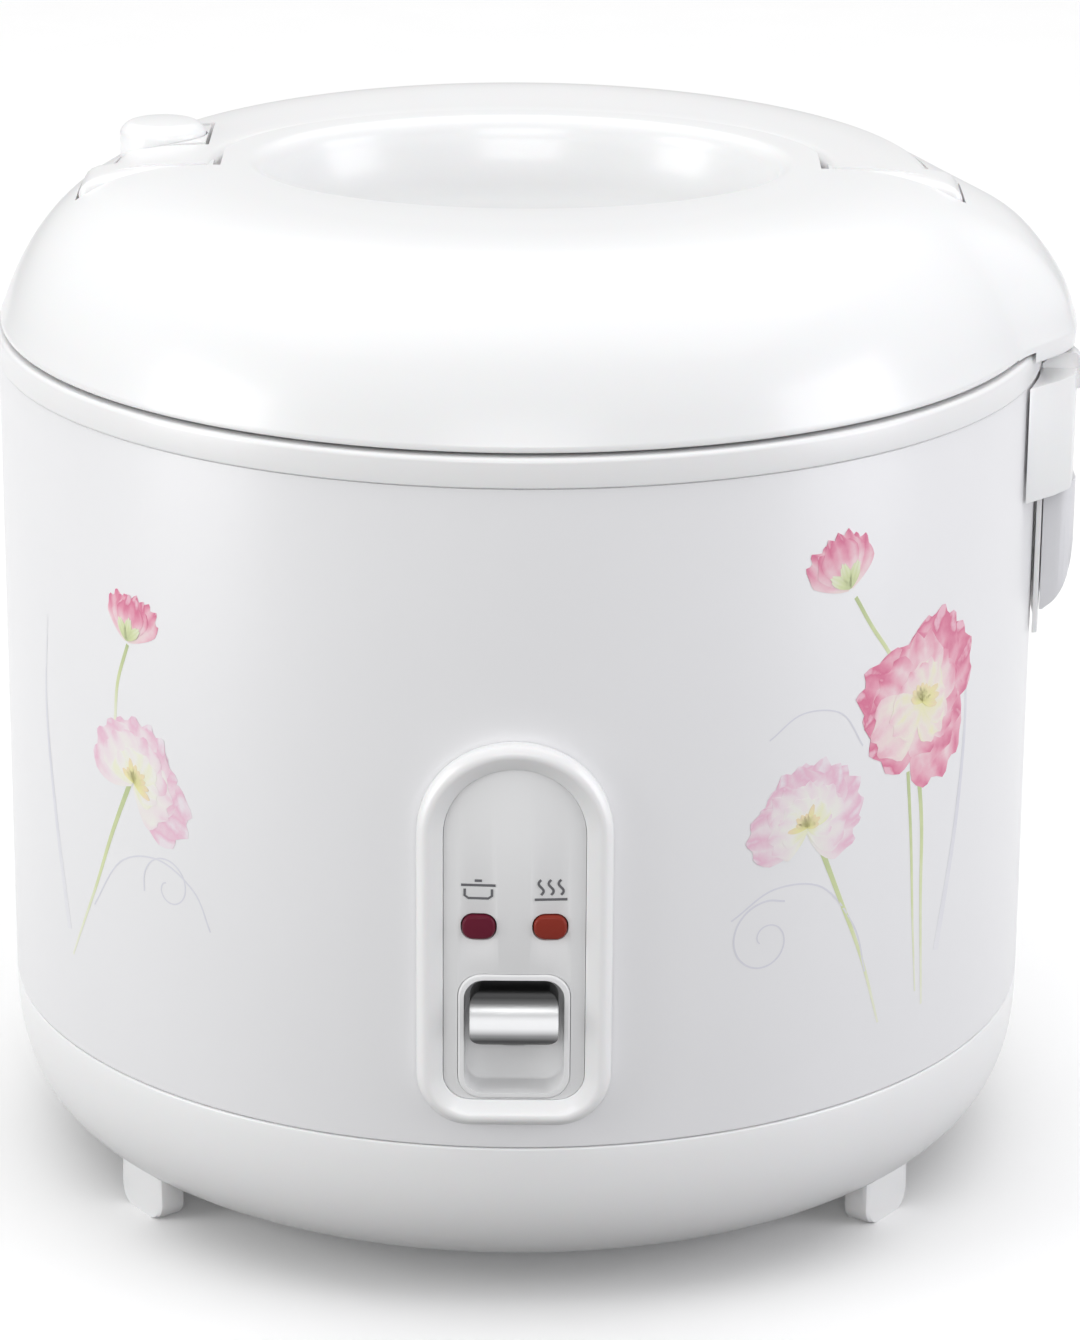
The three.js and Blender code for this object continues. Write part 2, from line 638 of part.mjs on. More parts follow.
function handlePin(side) {
  const [x0, x1] = side < 0 ? [-79, -67] : [67, 79];
  return rodX(2.2, x0, x1, 0, HANDLE.pivotZ, 12);
}

// ---- Assembly ----

// The solid's triangles as a geometry.
function meshGeometry(body) {
  const { vertProperties, triVerts } = body.getMesh();
  const geometry = new THREE.BufferGeometry();
  geometry.setAttribute('position', new THREE.BufferAttribute(Float32Array.from(vertProperties), 3));
  geometry.setIndex(new THREE.BufferAttribute(Uint32Array.from(triVerts), 1));
  return geometry;
}

function piece(name, body, finish) {
  const geometry = meshGeometry(body);
  geometry.computeVertexNormals();
  const mesh = new THREE.Mesh(geometry, new THREE.MeshStandardMaterial(FINISH[finish]));
  mesh.name = name;
  return mesh;
}

const cooker = new THREE.Group();
cooker.position.set(AXIS_X, AXIS_Y, 0);
const add = (name, body, finish) => cooker.add(piece(name, body, finish));

add('outer_shell', outerShell(), 'painted');
add('shoulder_ring', shoulderRing(), 'gloss');
add('base_shell', baseShell(), 'gloss');
add('bottom_cover', bottomCover(), 'steel');
screwPlaces().forEach(([x, y], i) => add(`cover_screw_${i + 1}`, coverScrew(x, y), 'steel'));
footPlaces().forEach(([x, y]) => {
  const name = `foot_${y < 0 ? 'front' : 'rear'}_${x < 0 ? 'left' : 'right'}`;
  add(name, foot(Math.atan2(y, x)), 'gloss');
});

add('control_bezel', controlBezel(), 'gloss');
add('control_face', controlFace(), 'panel');
add('switch_well', switchWell(), 'panel');
add('cook_lens', lens(-1), 'cookLens');
add('warm_lens', lens(1), 'warmLens');
add('cook_lamp', lamp(-1), 'glass');
add('warm_lamp', lamp(1), 'glass');
add('lamp_board', lampBoard(), 'board');
add('switch_knob', switchKnob(), 'silver');
add('switch_lever', switchLever(), 'steel');
add('lever_bracket', leverBracket(), 'steel');
add('lever_pin', leverPin(), 'steel');
add('microswitch', microswitch(), 'black');

add('inner_wall', innerWall(), 'steel');
add('side_heater_band', sideHeaterBand(), 'silicone');
add('heater_plate', heaterPlate(), 'aluminium');
add('heater_element', heaterElement(), 'steel');
add('thermal_fuse', thermalFuse(), 'brass');
add('inner_pot', innerPot(), 'nonstick');
add('thermostat_housing', thermostatHousing(), 'steel');
add('thermostat_magnet', thermostatMagnet(), 'black');
add('sensor_cap', sensorCap(), 'aluminium');
add('sensor_ferrite', sensorFerrite(), 'black');
add('sensor_spring', sensorSpring(), 'steel');

add('inlet_housing', inletHousing(), 'black');
add('inlet_pin_left', inletPin(-1), 'brass');
add('inlet_pin_right', inletPin(1), 'brass');

add('hinge_bracket', hingeBracket(), 'gloss');
add('hinge_pin', hingePin(), 'steel');
add('hinge_spring', hingeSpring(), 'steel');
add('dew_collector', dewCollector(), 'smoke');
add('latch_catch', latchCatch(), 'steel');

add('outer_lid', outerLid(), 'gloss');
add('lid_base', lidBase(), 'gloss');
add('lid_hinge_arm', lidHingeArm(), 'steel');
add('inner_lid', innerLid(), 'aluminium');
add('inner_lid_gasket', innerLidGasket(), 'silicone');
add('inner_lid_holder', innerLidHolder(), 'silicone');
add('steam_vent_tube', steamVentTube(), 'silicone');
add('steam_vent_cap', steamVentCap(), 'gloss');
add('carry_handle', carryHandle(), 'gloss');
add('handle_pin_left', handlePin(-1), 'steel');
add('handle_pin_right', handlePin(1), 'steel');
add('release_button', releaseButton(), 'gloss');
add('release_spring', releaseSpring(), 'steel');
add('latch_hook', latchHook(), 'steel');
add('latch_pin', latchPin(), 'steel');

export default cooker;
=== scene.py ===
import json
import math

import bmesh
import bpy
import numpy as np
from mathutils import Euler, Matrix, Vector


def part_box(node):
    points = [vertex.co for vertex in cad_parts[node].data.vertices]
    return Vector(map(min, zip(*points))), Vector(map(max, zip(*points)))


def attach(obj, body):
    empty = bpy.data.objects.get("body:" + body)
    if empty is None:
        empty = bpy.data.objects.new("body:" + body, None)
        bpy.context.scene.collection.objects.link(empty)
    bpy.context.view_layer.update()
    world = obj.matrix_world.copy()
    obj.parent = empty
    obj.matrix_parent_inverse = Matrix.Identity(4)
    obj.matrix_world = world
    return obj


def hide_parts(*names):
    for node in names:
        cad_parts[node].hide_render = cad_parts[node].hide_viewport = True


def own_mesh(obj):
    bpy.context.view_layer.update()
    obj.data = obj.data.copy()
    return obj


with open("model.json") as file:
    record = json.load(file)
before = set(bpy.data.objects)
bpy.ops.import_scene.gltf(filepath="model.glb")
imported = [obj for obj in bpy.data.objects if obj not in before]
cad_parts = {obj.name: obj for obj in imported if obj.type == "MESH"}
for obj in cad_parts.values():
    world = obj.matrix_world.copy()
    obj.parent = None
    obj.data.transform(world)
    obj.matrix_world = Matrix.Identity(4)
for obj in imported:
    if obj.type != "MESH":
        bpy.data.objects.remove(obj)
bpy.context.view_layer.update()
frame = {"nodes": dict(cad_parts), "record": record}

# ---- Sizes, in millimetres from the body's upright axis and the table ----

MM = 0.001
SHELL_LOW, SHELL_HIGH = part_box("outer_shell")
AXIS = np.array([(SHELL_LOW.x + SHELL_HIGH.x) / 2, (SHELL_LOW.y + SHELL_HIGH.y) / 2, 0.0])
RADIUS = (SHELL_HIGH.x - SHELL_LOW.x) / 2 / MM
SHELL_BOTTOM, SHELL_TOP = SHELL_LOW.z / MM, SHELL_HIGH.z / MM
BASE_TOP = 44.0
RING_TOP = 207.3
LID_FOOT = 208.2
CROWN = 244.9
STEPS = 192  # sides of a round piece
SHELL_STEPS = 256  # sides of the large outer pieces, which show against the light
DOME_STEPS = 360  # sides of the lid, which the housing swells out of
UNDERSIDE = 8.0
WALL = 2.0  # moulded plastic
PANEL_PLANES = (-135, -110)  # planes in front of and behind the panel, for cuts through the wall

HINGE = {"x": 129.2, "z": 199.0, "cheek": 4.8, "shift": 9.6}
HANDLE = {"outer": 98.3, "inner_x": 73.3, "inner_y": 57.3, "bottom": 233.8, "pivot_z": 237.5, "barrel": 9.4,
          "end": 105.0, "island": 71.2, "island_gap": 1.0, "clearance": 0.5, "barrel_clearance": 0.9}
RECESS = {"rx": 62.3, "ry": 48.0, "floor": 224.0}
BUTTON = {"x": -87.5, "y": 29.0, "r": 10.5, "flatten": 0.95}
BUTTON_PLACE = (BUTTON["x"], BUTTON["y"])
VENT_PLACE = (0, -20)
PANEL = {"half": 22.0, "bottom": 51.0, "top": 142.5, "rim": 6.0, "corner": 12.0, "lamp_x": 8.0,
         "lamp_z": 99.0, "mark_z": 105.8, "face": 126.8}
TUB = {"half": 12.6, "bottom": 57.4, "top": 87.5}
SCREW_CIRCLE = 88.2
FOOT_ANGLES = {"rear_right": 36, "rear_left": 144, "front_left": -144, "front_right": -36}


# ---- Mesh tools ----

def mesh_object(name, points, faces, weld=True):
    """A mesh object from points in millimetres about the body's axis, with its faces turned outwards."""
    mesh = bpy.data.meshes.new(name)
    mesh.from_pydata([tuple(AXIS + np.array(p) * MM) for p in points], [], faces)
    work = bmesh.new()
    work.from_mesh(mesh)
    if weld:
        bmesh.ops.remove_doubles(work, verts=work.verts, dist=1e-7)
    bmesh.ops.recalc_face_normals(work, faces=work.faces)
    work.to_mesh(mesh)
    work.free()
    obj = bpy.data.objects.new(name, mesh)
    bpy.context.scene.collection.objects.link(obj)
    return obj


def skin(name, loops, closed=False):
    """A solid through loops of equally many points, which closes on itself or has flat ends."""
    n, count = len(loops[0]), len(loops)
    pairs = [(k, (k + 1) % count) for k in range(count if closed else count - 1)]
    faces = [(a * n + i, a * n + (i + 1) % n, b * n + (i + 1) % n, b * n + i)
             for a, b in pairs for i in range(n)]
    if not closed:
        faces += [tuple(range(n)), tuple(range((count - 1) * n, count * n))]
    return mesh_object(name, [p for loop in loops for p in loop], faces)


def baked(obj):
    """Applies the object's modifiers to its mesh."""
    bpy.context.view_layer.update()
    graph = bpy.context.evaluated_depsgraph_get()
    mesh = bpy.data.meshes.new_from_object(obj.evaluated_get(graph))
    obj.modifiers.clear()
    obj.data = mesh
    return obj


def combine(obj, other, operation):
    """Joins or cuts two solids, and drops the second."""
    cut = obj.modifiers.new("cut", "BOOLEAN")
    cut.object = other
    cut.operation = operation
    cut.solver = "MANIFOLD"
    baked(obj)
    bpy.data.objects.remove(other)
    return obj


def cut(obj, *others):
    for other in others:
        combine(obj, other, "DIFFERENCE")
    return obj


def keep(obj, other):
    return combine(obj, other, "INTERSECT")


def join(obj, *others):
    for other in others:
        combine(obj, other, "UNION")
    return obj


def bevelled(obj, width, segments, angle=50):
    bevel = obj.modifiers.new("bevel", "BEVEL")
    bevel.width = width * MM
    bevel.segments = segments
    bevel.limit_method = "ANGLE"
    bevel.angle_limit = math.radians(angle)
    bevel.use_clamp_overlap = True
    return baked(obj)


def smooth(obj, angle=32):
    obj.data.shade_smooth()
    obj.data.set_sharp_from_angle(angle=math.radians(angle))
    return obj


def lathe(name, profile, steps=STEPS, centre=(0, 0), flatten=1.0):
    """A round solid from [radius, height] points that start and end on the axis, or close on themselves."""
    on_axis = profile[0][0] == 0 and profile[-1][0] == 0
    points, faces = [], []
    rings = []
    for r, z in profile:
        if r == 0:
            rings.append([len(points)])
            points.append((centre[0], centre[1], z))
            continue
        ring = []
        for k in range(steps):
            a = 2 * math.pi * k / steps
            ring.append(len(points))
            points.append((centre[0] + r * math.cos(a), centre[1] + flatten * r * math.sin(a), z))
        rings.append(ring)
    pairs = list(zip(rings, rings[1:])) + ([] if on_axis else [(rings[-1], rings[0])])
    for low, high in pairs:
        for k in range(steps):
            corners = [low[k % len(low)], low[(k + 1) % len(low)],
                       high[(k + 1) % len(high)], high[k % len(high)]]
            faces.append(list(dict.fromkeys(corners)))
    return mesh_object(name, points, [f for f in faces if len(f) > 2])


def disc(r, z0, z1, steps=STEPS, centre=(0, 0), flatten=1.0):
    return lathe("disc", [(0, z0), (r, z0), (r, z1), (0, z1)], steps, centre, flatten)


def band(r0, r1, z0, z1):
    return lathe("band", [(r0, z0), (r1, z0), (r1, z1), (r0, z1)])


def box(x0, x1, y0, y1, z0, z1):
    points = [(x, y, z) for x in (x0, x1) for y in (y0, y1) for z in (z0, z1)]
    faces = [(0, 1, 3, 2), (4, 6, 7, 5), (0, 4, 5, 1), (2, 3, 7, 6), (0, 2, 6, 4), (1, 5, 7, 3)]
    return mesh_object("box", points, faces)


def prism(outline, low, high, axis="z"):
    """An outline in X and Y carried along Z, or in X and Z carried along Y, or in Y and Z along X."""
    order = {"z": (0, 1, 2), "y": (0, 2, 1), "x": (2, 0, 1)}[axis]
    n = len(outline)
    points = [tuple((a, b, end)[k] for k in order) for end in (low, high) for a, b in outline]
    faces = [tuple(range(n)), tuple(range(2 * n - 1, n - 1, -1))]
    faces += [(k, (k + 1) % n, n + (k + 1) % n, n + k) for k in range(n)]
    return mesh_object("prism", points, faces)


def circle(r, steps=48, centre=(0, 0)):
    turns = [2 * math.pi * k / steps for k in range(steps)]
    return [(centre[0] + r * math.cos(a), centre[1] + r * math.sin(a)) for a in turns]


def fillet(points, radii, closed=True, steps=5):
    """The outline with its corners rounded, by one radius or by one for each point. A 0 keeps a corner."""
    n = len(points)
    radii = [radii] * n if np.isscalar(radii) else list(radii)
    out = []
    for k in range(n):
        p = np.array(points[k], float)
        if not closed and k in (0, n - 1) or radii[k] == 0:
            out.append(tuple(p))
            continue
        to_last = np.array(points[k - 1], float) - p
        to_next = np.array(points[(k + 1) % n], float) - p
        a, b = to_last / np.linalg.norm(to_last), to_next / np.linalg.norm(to_next)
        half = math.acos(float(np.clip(a @ b, -1, 1))) / 2
        reach = min(radii[k] / math.tan(half), 0.49 * np.linalg.norm(to_last), 0.49 * np.linalg.norm(to_next))
        r = reach * math.tan(half)
        centre = p + (a + b) / np.linalg.norm(a + b) * r / math.sin(half)
        start, end = p + a * reach - centre, p + b * reach - centre
        turn = math.atan2(start[0] * end[1] - start[1] * end[0], float(start @ end))
        for s in range(steps + 1):
            t = turn * s / steps
            out.append((centre[0] + start[0] * math.cos(t) - start[1] * math.sin(t),
                        centre[1] + start[0] * math.sin(t) + start[1] * math.cos(t)))
    return out


def smooth_curve(points, per_span=6):
    """A Catmull-Rom curve through the points."""
    p = np.array([2 * np.array(points[0]) - np.array(points[1]), *points,
                  2 * np.array(points[-1]) - np.array(points[-2])], float)
    out = []
    for k in range(1, len(p) - 2):
        for s in range(per_span):
            t = s / per_span
            out.append(0.5 * (2 * p[k] + (p[k + 1] - p[k - 1]) * t
                              + (2 * p[k - 1] - 5 * p[k] + 4 * p[k + 1] - p[k + 2]) * t ** 2
                              + (3 * p[k] - p[k - 1] - 3 * p[k + 1] + p[k + 2]) * t ** 3))
    return [tuple(q) for q in out] + [tuple(p[-2])]


# ---- Materials ----

GLOSS_SPREAD = 0.05  # how far a surface's roughness wanders


def add_node(tree, kind, values=(), operation=None):
    """A new shader node, with some of its inputs set."""
    added = tree.nodes.new("ShaderNode" + kind)
    if operation:
        added.operation = operation
    for key, value in dict(values).items():
        added.inputs[key].default_value = value
    return added


def found(tree, kind):
    return next(n for n in tree.nodes if n.type == kind)


def link(source, output, target, entry):
    source.id_data.links.new(source.outputs[output], target.inputs[entry])


def fill_ramp(ramp, stops):
    """Gives a colour ramp its (place, colour) stops."""
    points = ramp.color_ramp.elements
    while len(points) < len(stops):
        points.new(0.5)
    for point, (place, color) in zip(points, stops):
        point.position = place
        point.color = (*color, 1)


def shade_base(tree, source, output):
    """Multiplies the base colour by a node's output."""
    shader = found(tree, "BSDF_PRINCIPLED")
    mix = add_node(tree, "VectorMath", operation="MULTIPLY")
    tree.links.new(shader.inputs["Base Color"].links[0].from_socket, mix.inputs[0])
    link(source, output, mix, 1)
    link(mix, "Vector", shader, "Base Color")


def material(name, color, rough, metallic=0.0, mottle=0.015, grain=900.0, bump=0.02, coat=0.0, subsurface=0.0,
             transmission=0.0, specular=0.5):
    """A shader whose colour, gloss and surface vary a little, as moulded, painted and pressed surfaces do."""
    mat = bpy.data.materials.new(name)
    mat.use_nodes = True
    tree = mat.node_tree
    shader = found(tree, "BSDF_PRINCIPLED")
    settings = {"Metallic": metallic, "Specular IOR Level": specular, "Transmission Weight": transmission,
                "Coat Weight": coat, "Coat Roughness": 0.12,
                "Subsurface Weight": subsurface, "Subsurface Scale": 0.004}
    for key, value in settings.items():
        shader.inputs[key].default_value = value
    place = add_node(tree, "TexCoord")
    broad = add_node(tree, "TexNoise", {"Scale": 22.0, "Detail": 3.0})
    fine = add_node(tree, "TexNoise", {"Scale": grain, "Detail": 2.0})
    tint = add_node(tree, "ValToRGB")
    darker, lighter = [c * (1 - mottle) for c in color], [min(1.0, c * (1 + mottle)) for c in color]
    fill_ramp(tint, [(0.3, darker), (0.7, lighter)])
    gloss = add_node(tree, "MapRange", {"To Min": rough - GLOSS_SPREAD, "To Max": rough + GLOSS_SPREAD})
    relief = add_node(tree, "Bump", {"Strength": bump, "Distance": 0.0004})
    link(place, "Object", broad, "Vector")
    link(place, "Object", fine, "Vector")
    link(broad, "Fac", tint, "Fac")
    link(broad, "Fac", gloss, "Value")
    link(fine, "Fac", relief, "Height")
    link(tint, "Color", shader, "Base Color")
    link(gloss, "Result", shader, "Roughness")
    link(relief, "Normal", shader, "Normal")
    return mat


def glossy(name):
    """The white moulded plastic."""
    return material(name, (0.88, 0.88, 0.885), 0.3, mottle=0.004, bump=0.015, coat=0.25, subsurface=0.05)


def brushed(name, color, rough):
    """Metal with fine lines along one direction."""
    mat = material(name, color, rough, metallic=1.0, mottle=0.04, bump=0.15)
    tree = mat.node_tree
    scale = add_node(tree, "Mapping", {"Scale": (1, 1, 60)})
    lines = add_node(tree, "TexNoise", {"Scale": 60.0, "Detail": 4.0})
    link(found(tree, "TEX_COORD"), "Object", scale, "Vector")
    link(scale, "Vector", lines, "Vector")
    link(lines, "Fac", found(tree, "BUMP"), "Height")
    return mat


def metal_with_painted_reflection(name, base):
    """Bright metal whose base colour is darkened where it turns away from the front: a painted reflection of the
    dark tub round its edges.
    """
    mat = material(name, base, 0.3, metallic=0.9, mottle=0.04, grain=2600, bump=0.04)
    tree = mat.node_tree
    # painted reflection: the base colour goes dark at edges that turn from the front and stays bright where the
    # cap faces forward
    shape = add_node(tree, "NewGeometry")
    split = add_node(tree, "SeparateXYZ")
    facing = add_node(tree, "Math", operation="ABSOLUTE")
    painted_reflection = add_node(tree, "ValToRGB")
    levels = ((0.0, 0.05), (0.74, 0.08), (0.91, 0.38), (0.985, 1.0))
    fill_ramp(painted_reflection, [(place, [level] * 3) for place, level in levels])
    link(shape, "Normal", split, "Vector")
    link(split, "Y", facing, 0)
    link(facing, "Value", painted_reflection, "Fac")
    shade_base(tree, painted_reflection, "Color")
    return mat


def lid_with_painted_recess_shade(mat):
    """The lid's own plastic, with painted shade in the recess that the hand reaches into: its base colour is
    darker inside the recess's outline.
    """
    tree = mat.node_tree
    # painted shade: the base colour drops to 0.85 inside the recess and rises back to full at its rim
    shift = add_node(tree, "VectorMath", {1: AXIS}, "SUBTRACT")
    across = add_node(tree, "VectorMath", {1: (RECESS["rx"] * MM, RECESS["ry"] * MM, 1e6)}, "DIVIDE")
    reach = add_node(tree, "VectorMath", operation="LENGTH")
    painted_shade = add_node(tree, "MapRange", {"From Min": 0.86, "From Max": 1.02, "To Min": 0.85, "To Max": 1.0})
    link(found(tree, "TEX_COORD"), "Object", shift, 0)
    link(shift, "Vector", across, 0)
    link(across, "Vector", reach, 0)
    link(reach, "Value", painted_shade, "Value")
    shade_base(tree, painted_shade, "Result")
    return mat


def tinted(name, stops):
    """Printed ink whose colour runs along each petal or stem, by the mesh's own tint, with a soft edge."""
    mat = material(name, (1, 1, 1), 0.4)
    tree = mat.node_tree
    tint = add_node(tree, "Attribute")
    tint.attribute_name = "tint"
    wash = add_node(tree, "TexNoise", {"Scale": 260.0, "Detail": 3.0})
    spread = add_node(tree, "Math", {1: 0.45}, "MULTIPLY_ADD")
    mixed = add_node(tree, "Math", {1: -0.22}, "ADD")
    ramp = add_node(tree, "ValToRGB")
    fill_ramp(ramp, stops)
    link(found(tree, "TEX_COORD"), "Object", wash, "Vector")
    link(wash, "Fac", spread, 0)
    link(tint, "Fac", spread, 2)
    link(spread, "Value", mixed, 0)
    link(mixed, "Value", ramp, "Fac")
    link(ramp, "Color", found(tree, "BSDF_PRINCIPLED"), "Base Color")
    return mat


SLOTS = {
    "gloss": glossy("gloss"),
    "painted": material("painted", (0.86, 0.86, 0.875), 0.34, mottle=0.006, bump=0.02, coat=0.2),
    "panel": material("panel", (0.85, 0.852, 0.858), 0.42, mottle=0.008, grain=1600, bump=0.04),
    "silver": metal_with_painted_reflection("silver", (0.8, 0.805, 0.815)),
    "cook_lens": material("cook_lens", (0.13, 0.008, 0.026), 0.32, mottle=0.12, bump=0.02, specular=0.15),
    "warm_lens": material("warm_lens", (0.26, 0.03, 0.018), 0.32, mottle=0.12, bump=0.02, specular=0.15),
    "smoke": material("smoke", (0.82, 0.82, 0.845), 0.3, mottle=0.02, bump=0.02, transmission=0.12),
    "aluminium": brushed("aluminium", (0.72, 0.725, 0.73), 0.36),
    "nonstick": material("nonstick", (0.1, 0.102, 0.11), 0.42, metallic=0.35, mottle=0.1, grain=1800,
                         bump=0.12),
    "steel": brushed("steel", (0.55, 0.56, 0.57), 0.34),
    "silicone": material("silicone", (0.68, 0.69, 0.7), 0.6, mottle=0.02, bump=0.06, subsurface=0.1),
    "black": material("black", (0.028, 0.028, 0.031), 0.5, mottle=0.15, grain=1500, bump=0.12),
    "brass": brushed("brass", (0.62, 0.45, 0.2), 0.3),
    "lamp_glass": material("lamp_glass", (0.9, 0.8, 0.68), 0.12, mottle=0.02, bump=0.01, transmission=0.6),
    "board": material("board", (0.42, 0.33, 0.16), 0.65, mottle=0.08, grain=700, bump=0.1),
}
TINTS = {
    "rose": [(0.0, (0.86, 0.85, 0.5)), (0.25, (0.88, 0.82, 0.74)), (0.5, (0.88, 0.66, 0.7)),
             (0.76, (0.8, 0.34, 0.46)), (0.92, (0.7, 0.17, 0.3)), (1.0, (0.84, 0.5, 0.6))],
    "pale": [(0.0, (0.85, 0.86, 0.58)), (0.28, (0.88, 0.87, 0.82)), (0.6, (0.87, 0.76, 0.8)),
             (0.84, (0.82, 0.52, 0.65)), (1.0, (0.86, 0.78, 0.83))],
    "heart": [(0.0, (0.8, 0.78, 0.3)), (0.5, (0.86, 0.82, 0.42)), (1.0, (0.86, 0.72, 0.5))],
    "stem": [(0.0, (0.5, 0.58, 0.3)), (0.5, (0.68, 0.74, 0.42)), (1.0, (0.84, 0.85, 0.72))],
    "swirl": [(0.0, (0.83, 0.83, 0.85)), (0.5, (0.72, 0.72, 0.78)), (1.0, (0.82, 0.82, 0.85))],
}
INK = {name: tinted("ink_" + name, stops) for name, stops in TINTS.items()}
INK["mark"] = material("ink_mark", (0.12, 0.12, 0.13), 0.5, mottle=0.05)


def finished(obj, name, slot, body, *nodes, angle=32):
    """Names a piece, gives it its finish and body, and puts it in place of the CAD nodes it stands for."""
    obj.name = name
    obj.data.name = name
    smooth(obj, angle)
    obj.data.materials.clear()
    obj.data.materials.append(SLOTS[slot])
    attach(obj, body)
    if nodes:
        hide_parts(*nodes)
    return obj


# ---- Profiles ----

def corner_curve(r0, z0, w, h, steps):
    """The bowl of the base, from its foot to its rim."""
    power = 2 / 2.6
    turns = [(math.pi / 2) * (1 - k / steps) for k in range(steps + 1)]
    return [(r0 + w * max(math.cos(t), 0) ** power, z0 + h * (1 - math.sin(t) ** power)) for t in turns]


DOME_POINTS = [(124.4, 209.4), (123.3, 212.2), (121.5, 216.6), (119.0, 221.6), (115.6, 227.0), (111.0, 232.4),
               (105.2, 237.2), (97.6, 241.2), (88.5, 243.6), (78, 244.7), (66, CROWN)]
DOME = smooth_curve(DOME_POINTS, 5)


def grown_dome(d):
    """The dome's outline, moved outwards by d along its own normal."""
    p = np.array(DOME)
    along = np.gradient(p, axis=0)
    normal = np.stack([along[:, 1], -along[:, 0]], 1)
    normal /= np.linalg.norm(normal, axis=1)[:, None]
    return [tuple(q) for q in p + normal * d]


# How far the housing over the hinge stands out from the dome, at heights up its ridge
HOUSING = smooth_curve([(205.3, 8.7), (210.5, 9.0), (215.7, 9.3), (220.3, 8.9), (225.3, 8.0), (229.2, 6.9),
                        (232.4, 5.2), (235.4, 2.7), (238.4, 0.6), (241.0, 0.0)], 4)


def bulge(z, turn):
    """How far the lid stands out from the dome there, by height and the angle from the hinge."""
    spread = min(1.0, max(0.0, (21.0 - abs(math.degrees(turn))) / 13.0))
    out = float(np.interp(z, [p[0] for p in HOUSING], [p[1] for p in HOUSING]))
    return max(out, 0.0) * spread * spread * (3 - 2 * spread)


def dome(d=0.0, foot=LID_FOOT, rim=0.0):
    """The lid's dome, grown by d, with the housing that swells out of it over the hinge."""
    outline = grown_dome(d)
    start = fillet([(0, foot), (outline[0][0] - 0.05, foot), outline[0]], [0, rim, 0], closed=False)
    profile = start + outline[1:] + [(0, outline[-1][1])]
    solid = lathe("dome", profile, DOME_STEPS)
    for vertex in solid.data.vertices:
        x, y, z = (np.array(vertex.co) - AXIS) / MM
        r, turn = math.hypot(x, y), math.atan2(y, x)
        if r > 90:
            out = 1 + bulge(z - d, turn) / r
            vertex.co = AXIS + np.array([x * out, y * out, z]) * MM
    return solid


def recess(d=0.0):
    """The bowl in the lid, whose rim rolls over into the flat crown."""
    floor = RECESS["floor"]
    rises = [(44, 0), (50, 1.0), (54.6, 4.2), (58.2, 10), (60.4, 16)]
    wall = smooth_curve([(r, floor + rise) for r, rise in rises], 5)
    roll = 4.6
    rim = [(RECESS["rx"] + 3.2 - roll * math.cos(t), CROWN + 0.02 - roll + roll * math.sin(t))
           for t in np.linspace(0.12, math.pi / 2, 9)]
    grown = [(r + d, z - (d if r < 50 else 0)) for r, z in wall + rim]
    return lathe("recess", [(0, floor - d), *grown, (grown[-1][0], CROWN + 12), (0, CROWN + 12)],
                 flatten=RECESS["ry"] / RECESS["rx"])


def handle_room(d):
    """The space in the lid that the folded handle lies in, grown by d."""
    grow = HANDLE["clearance"] + d
    inner_x, inner_y = (HANDLE[side] - HANDLE["island_gap"] - d for side in ("inner_x", "inner_y"))
    room = disc(HANDLE["outer"] + grow, HANDLE["bottom"] - grow, 260)
    keep(room, box(-120, 120, -1, 120, 220, 261))
    end = HANDLE["end"] + grow
    barrel = HANDLE["barrel"] + HANDLE["barrel_clearance"] + d
    join(room, prism(circle(barrel, 64, (0, HANDLE["pivot_z"])), -end, end, "x"))
    island_end = HANDLE["island"] - d
    middle = disc(inner_x, 210, 263, flatten=inner_y / inner_x)
    return cut(room, keep(middle, box(-island_end, island_end, -90, 90, 209, 264)))


# ---- Body ----

def panel_outline(inset):
    """The panel's upright outline, round at the top and square below, moved inwards."""
    half, r, steps = PANEL["half"] - inset, PANEL["corner"] - inset, 14
    low, high = PANEL["bottom"] + inset, PANEL["top"] - inset
    arcs = [((half - r, low + r), r, -90, 0), ((0, high - half), half, 0, 180),
            ((-half + r, low + r), r, 180, 270)]
    out = []
    for (cx, cz), radius, a0, a1 in arcs:
        for a in np.radians(np.linspace(a0, a1, steps * (2 if radius == half else 1) + 1)):
            out.append((cx + radius * math.cos(a), cz + radius * math.sin(a)))
    return out


def rounded_rect(x0, x1, z0, z1, r, steps=6):
    return fillet([(x0, z0), (x1, z0), (x1, z1), (x0, z1)], r, steps=steps)


def make_shell():
    """The painted wall, open for the control panel and the power inlet."""
    top = SHELL_TOP + 0.2  # the sheet runs up close to the ring
    profile = fillet([(RADIUS - 1, SHELL_BOTTOM), (RADIUS, SHELL_BOTTOM), (RADIUS, top), (RADIUS - 1, top)],
                     [0, 0.35, 0.35, 0])
    shell = lathe("shell", profile, SHELL_STEPS)
    cut(shell, prism(panel_outline(PANEL["rim"] - 0.4), *PANEL_PLANES, "y"))
    cut(shell, box(-15, 15, 110, 135, 50, 76))
    finished(shell, "shell_wall", "painted", "body", "outer_shell")


def make_ring():
    """The moulded ring that the lid closes on, with a slot for the latch hook."""
    profile = fillet(
        [(125.5, 200.5), (125.5, RING_TOP), (120.5, RING_TOP), (113, 204), (112.4, 201.8), (105, 201.8),
         (105, 200.2), (120.5, 200.2), (121.9, 198), (121.9, 190), (123.6, 190), (123.6, 200.5)],
        [0.4, 1.1, 1.5, 1.5, 0.4, 0.6, 0.3, 0, 0, 0, 0, 0])
    ring = lathe("ring", profile, SHELL_STEPS)
    y = BUTTON["y"]
    cut(ring, box(-119.4, -109, y - 4.5, y + 4.5, 201.4, 208))
    finished(ring, "body_ring", "gloss", "body", "shoulder_ring")


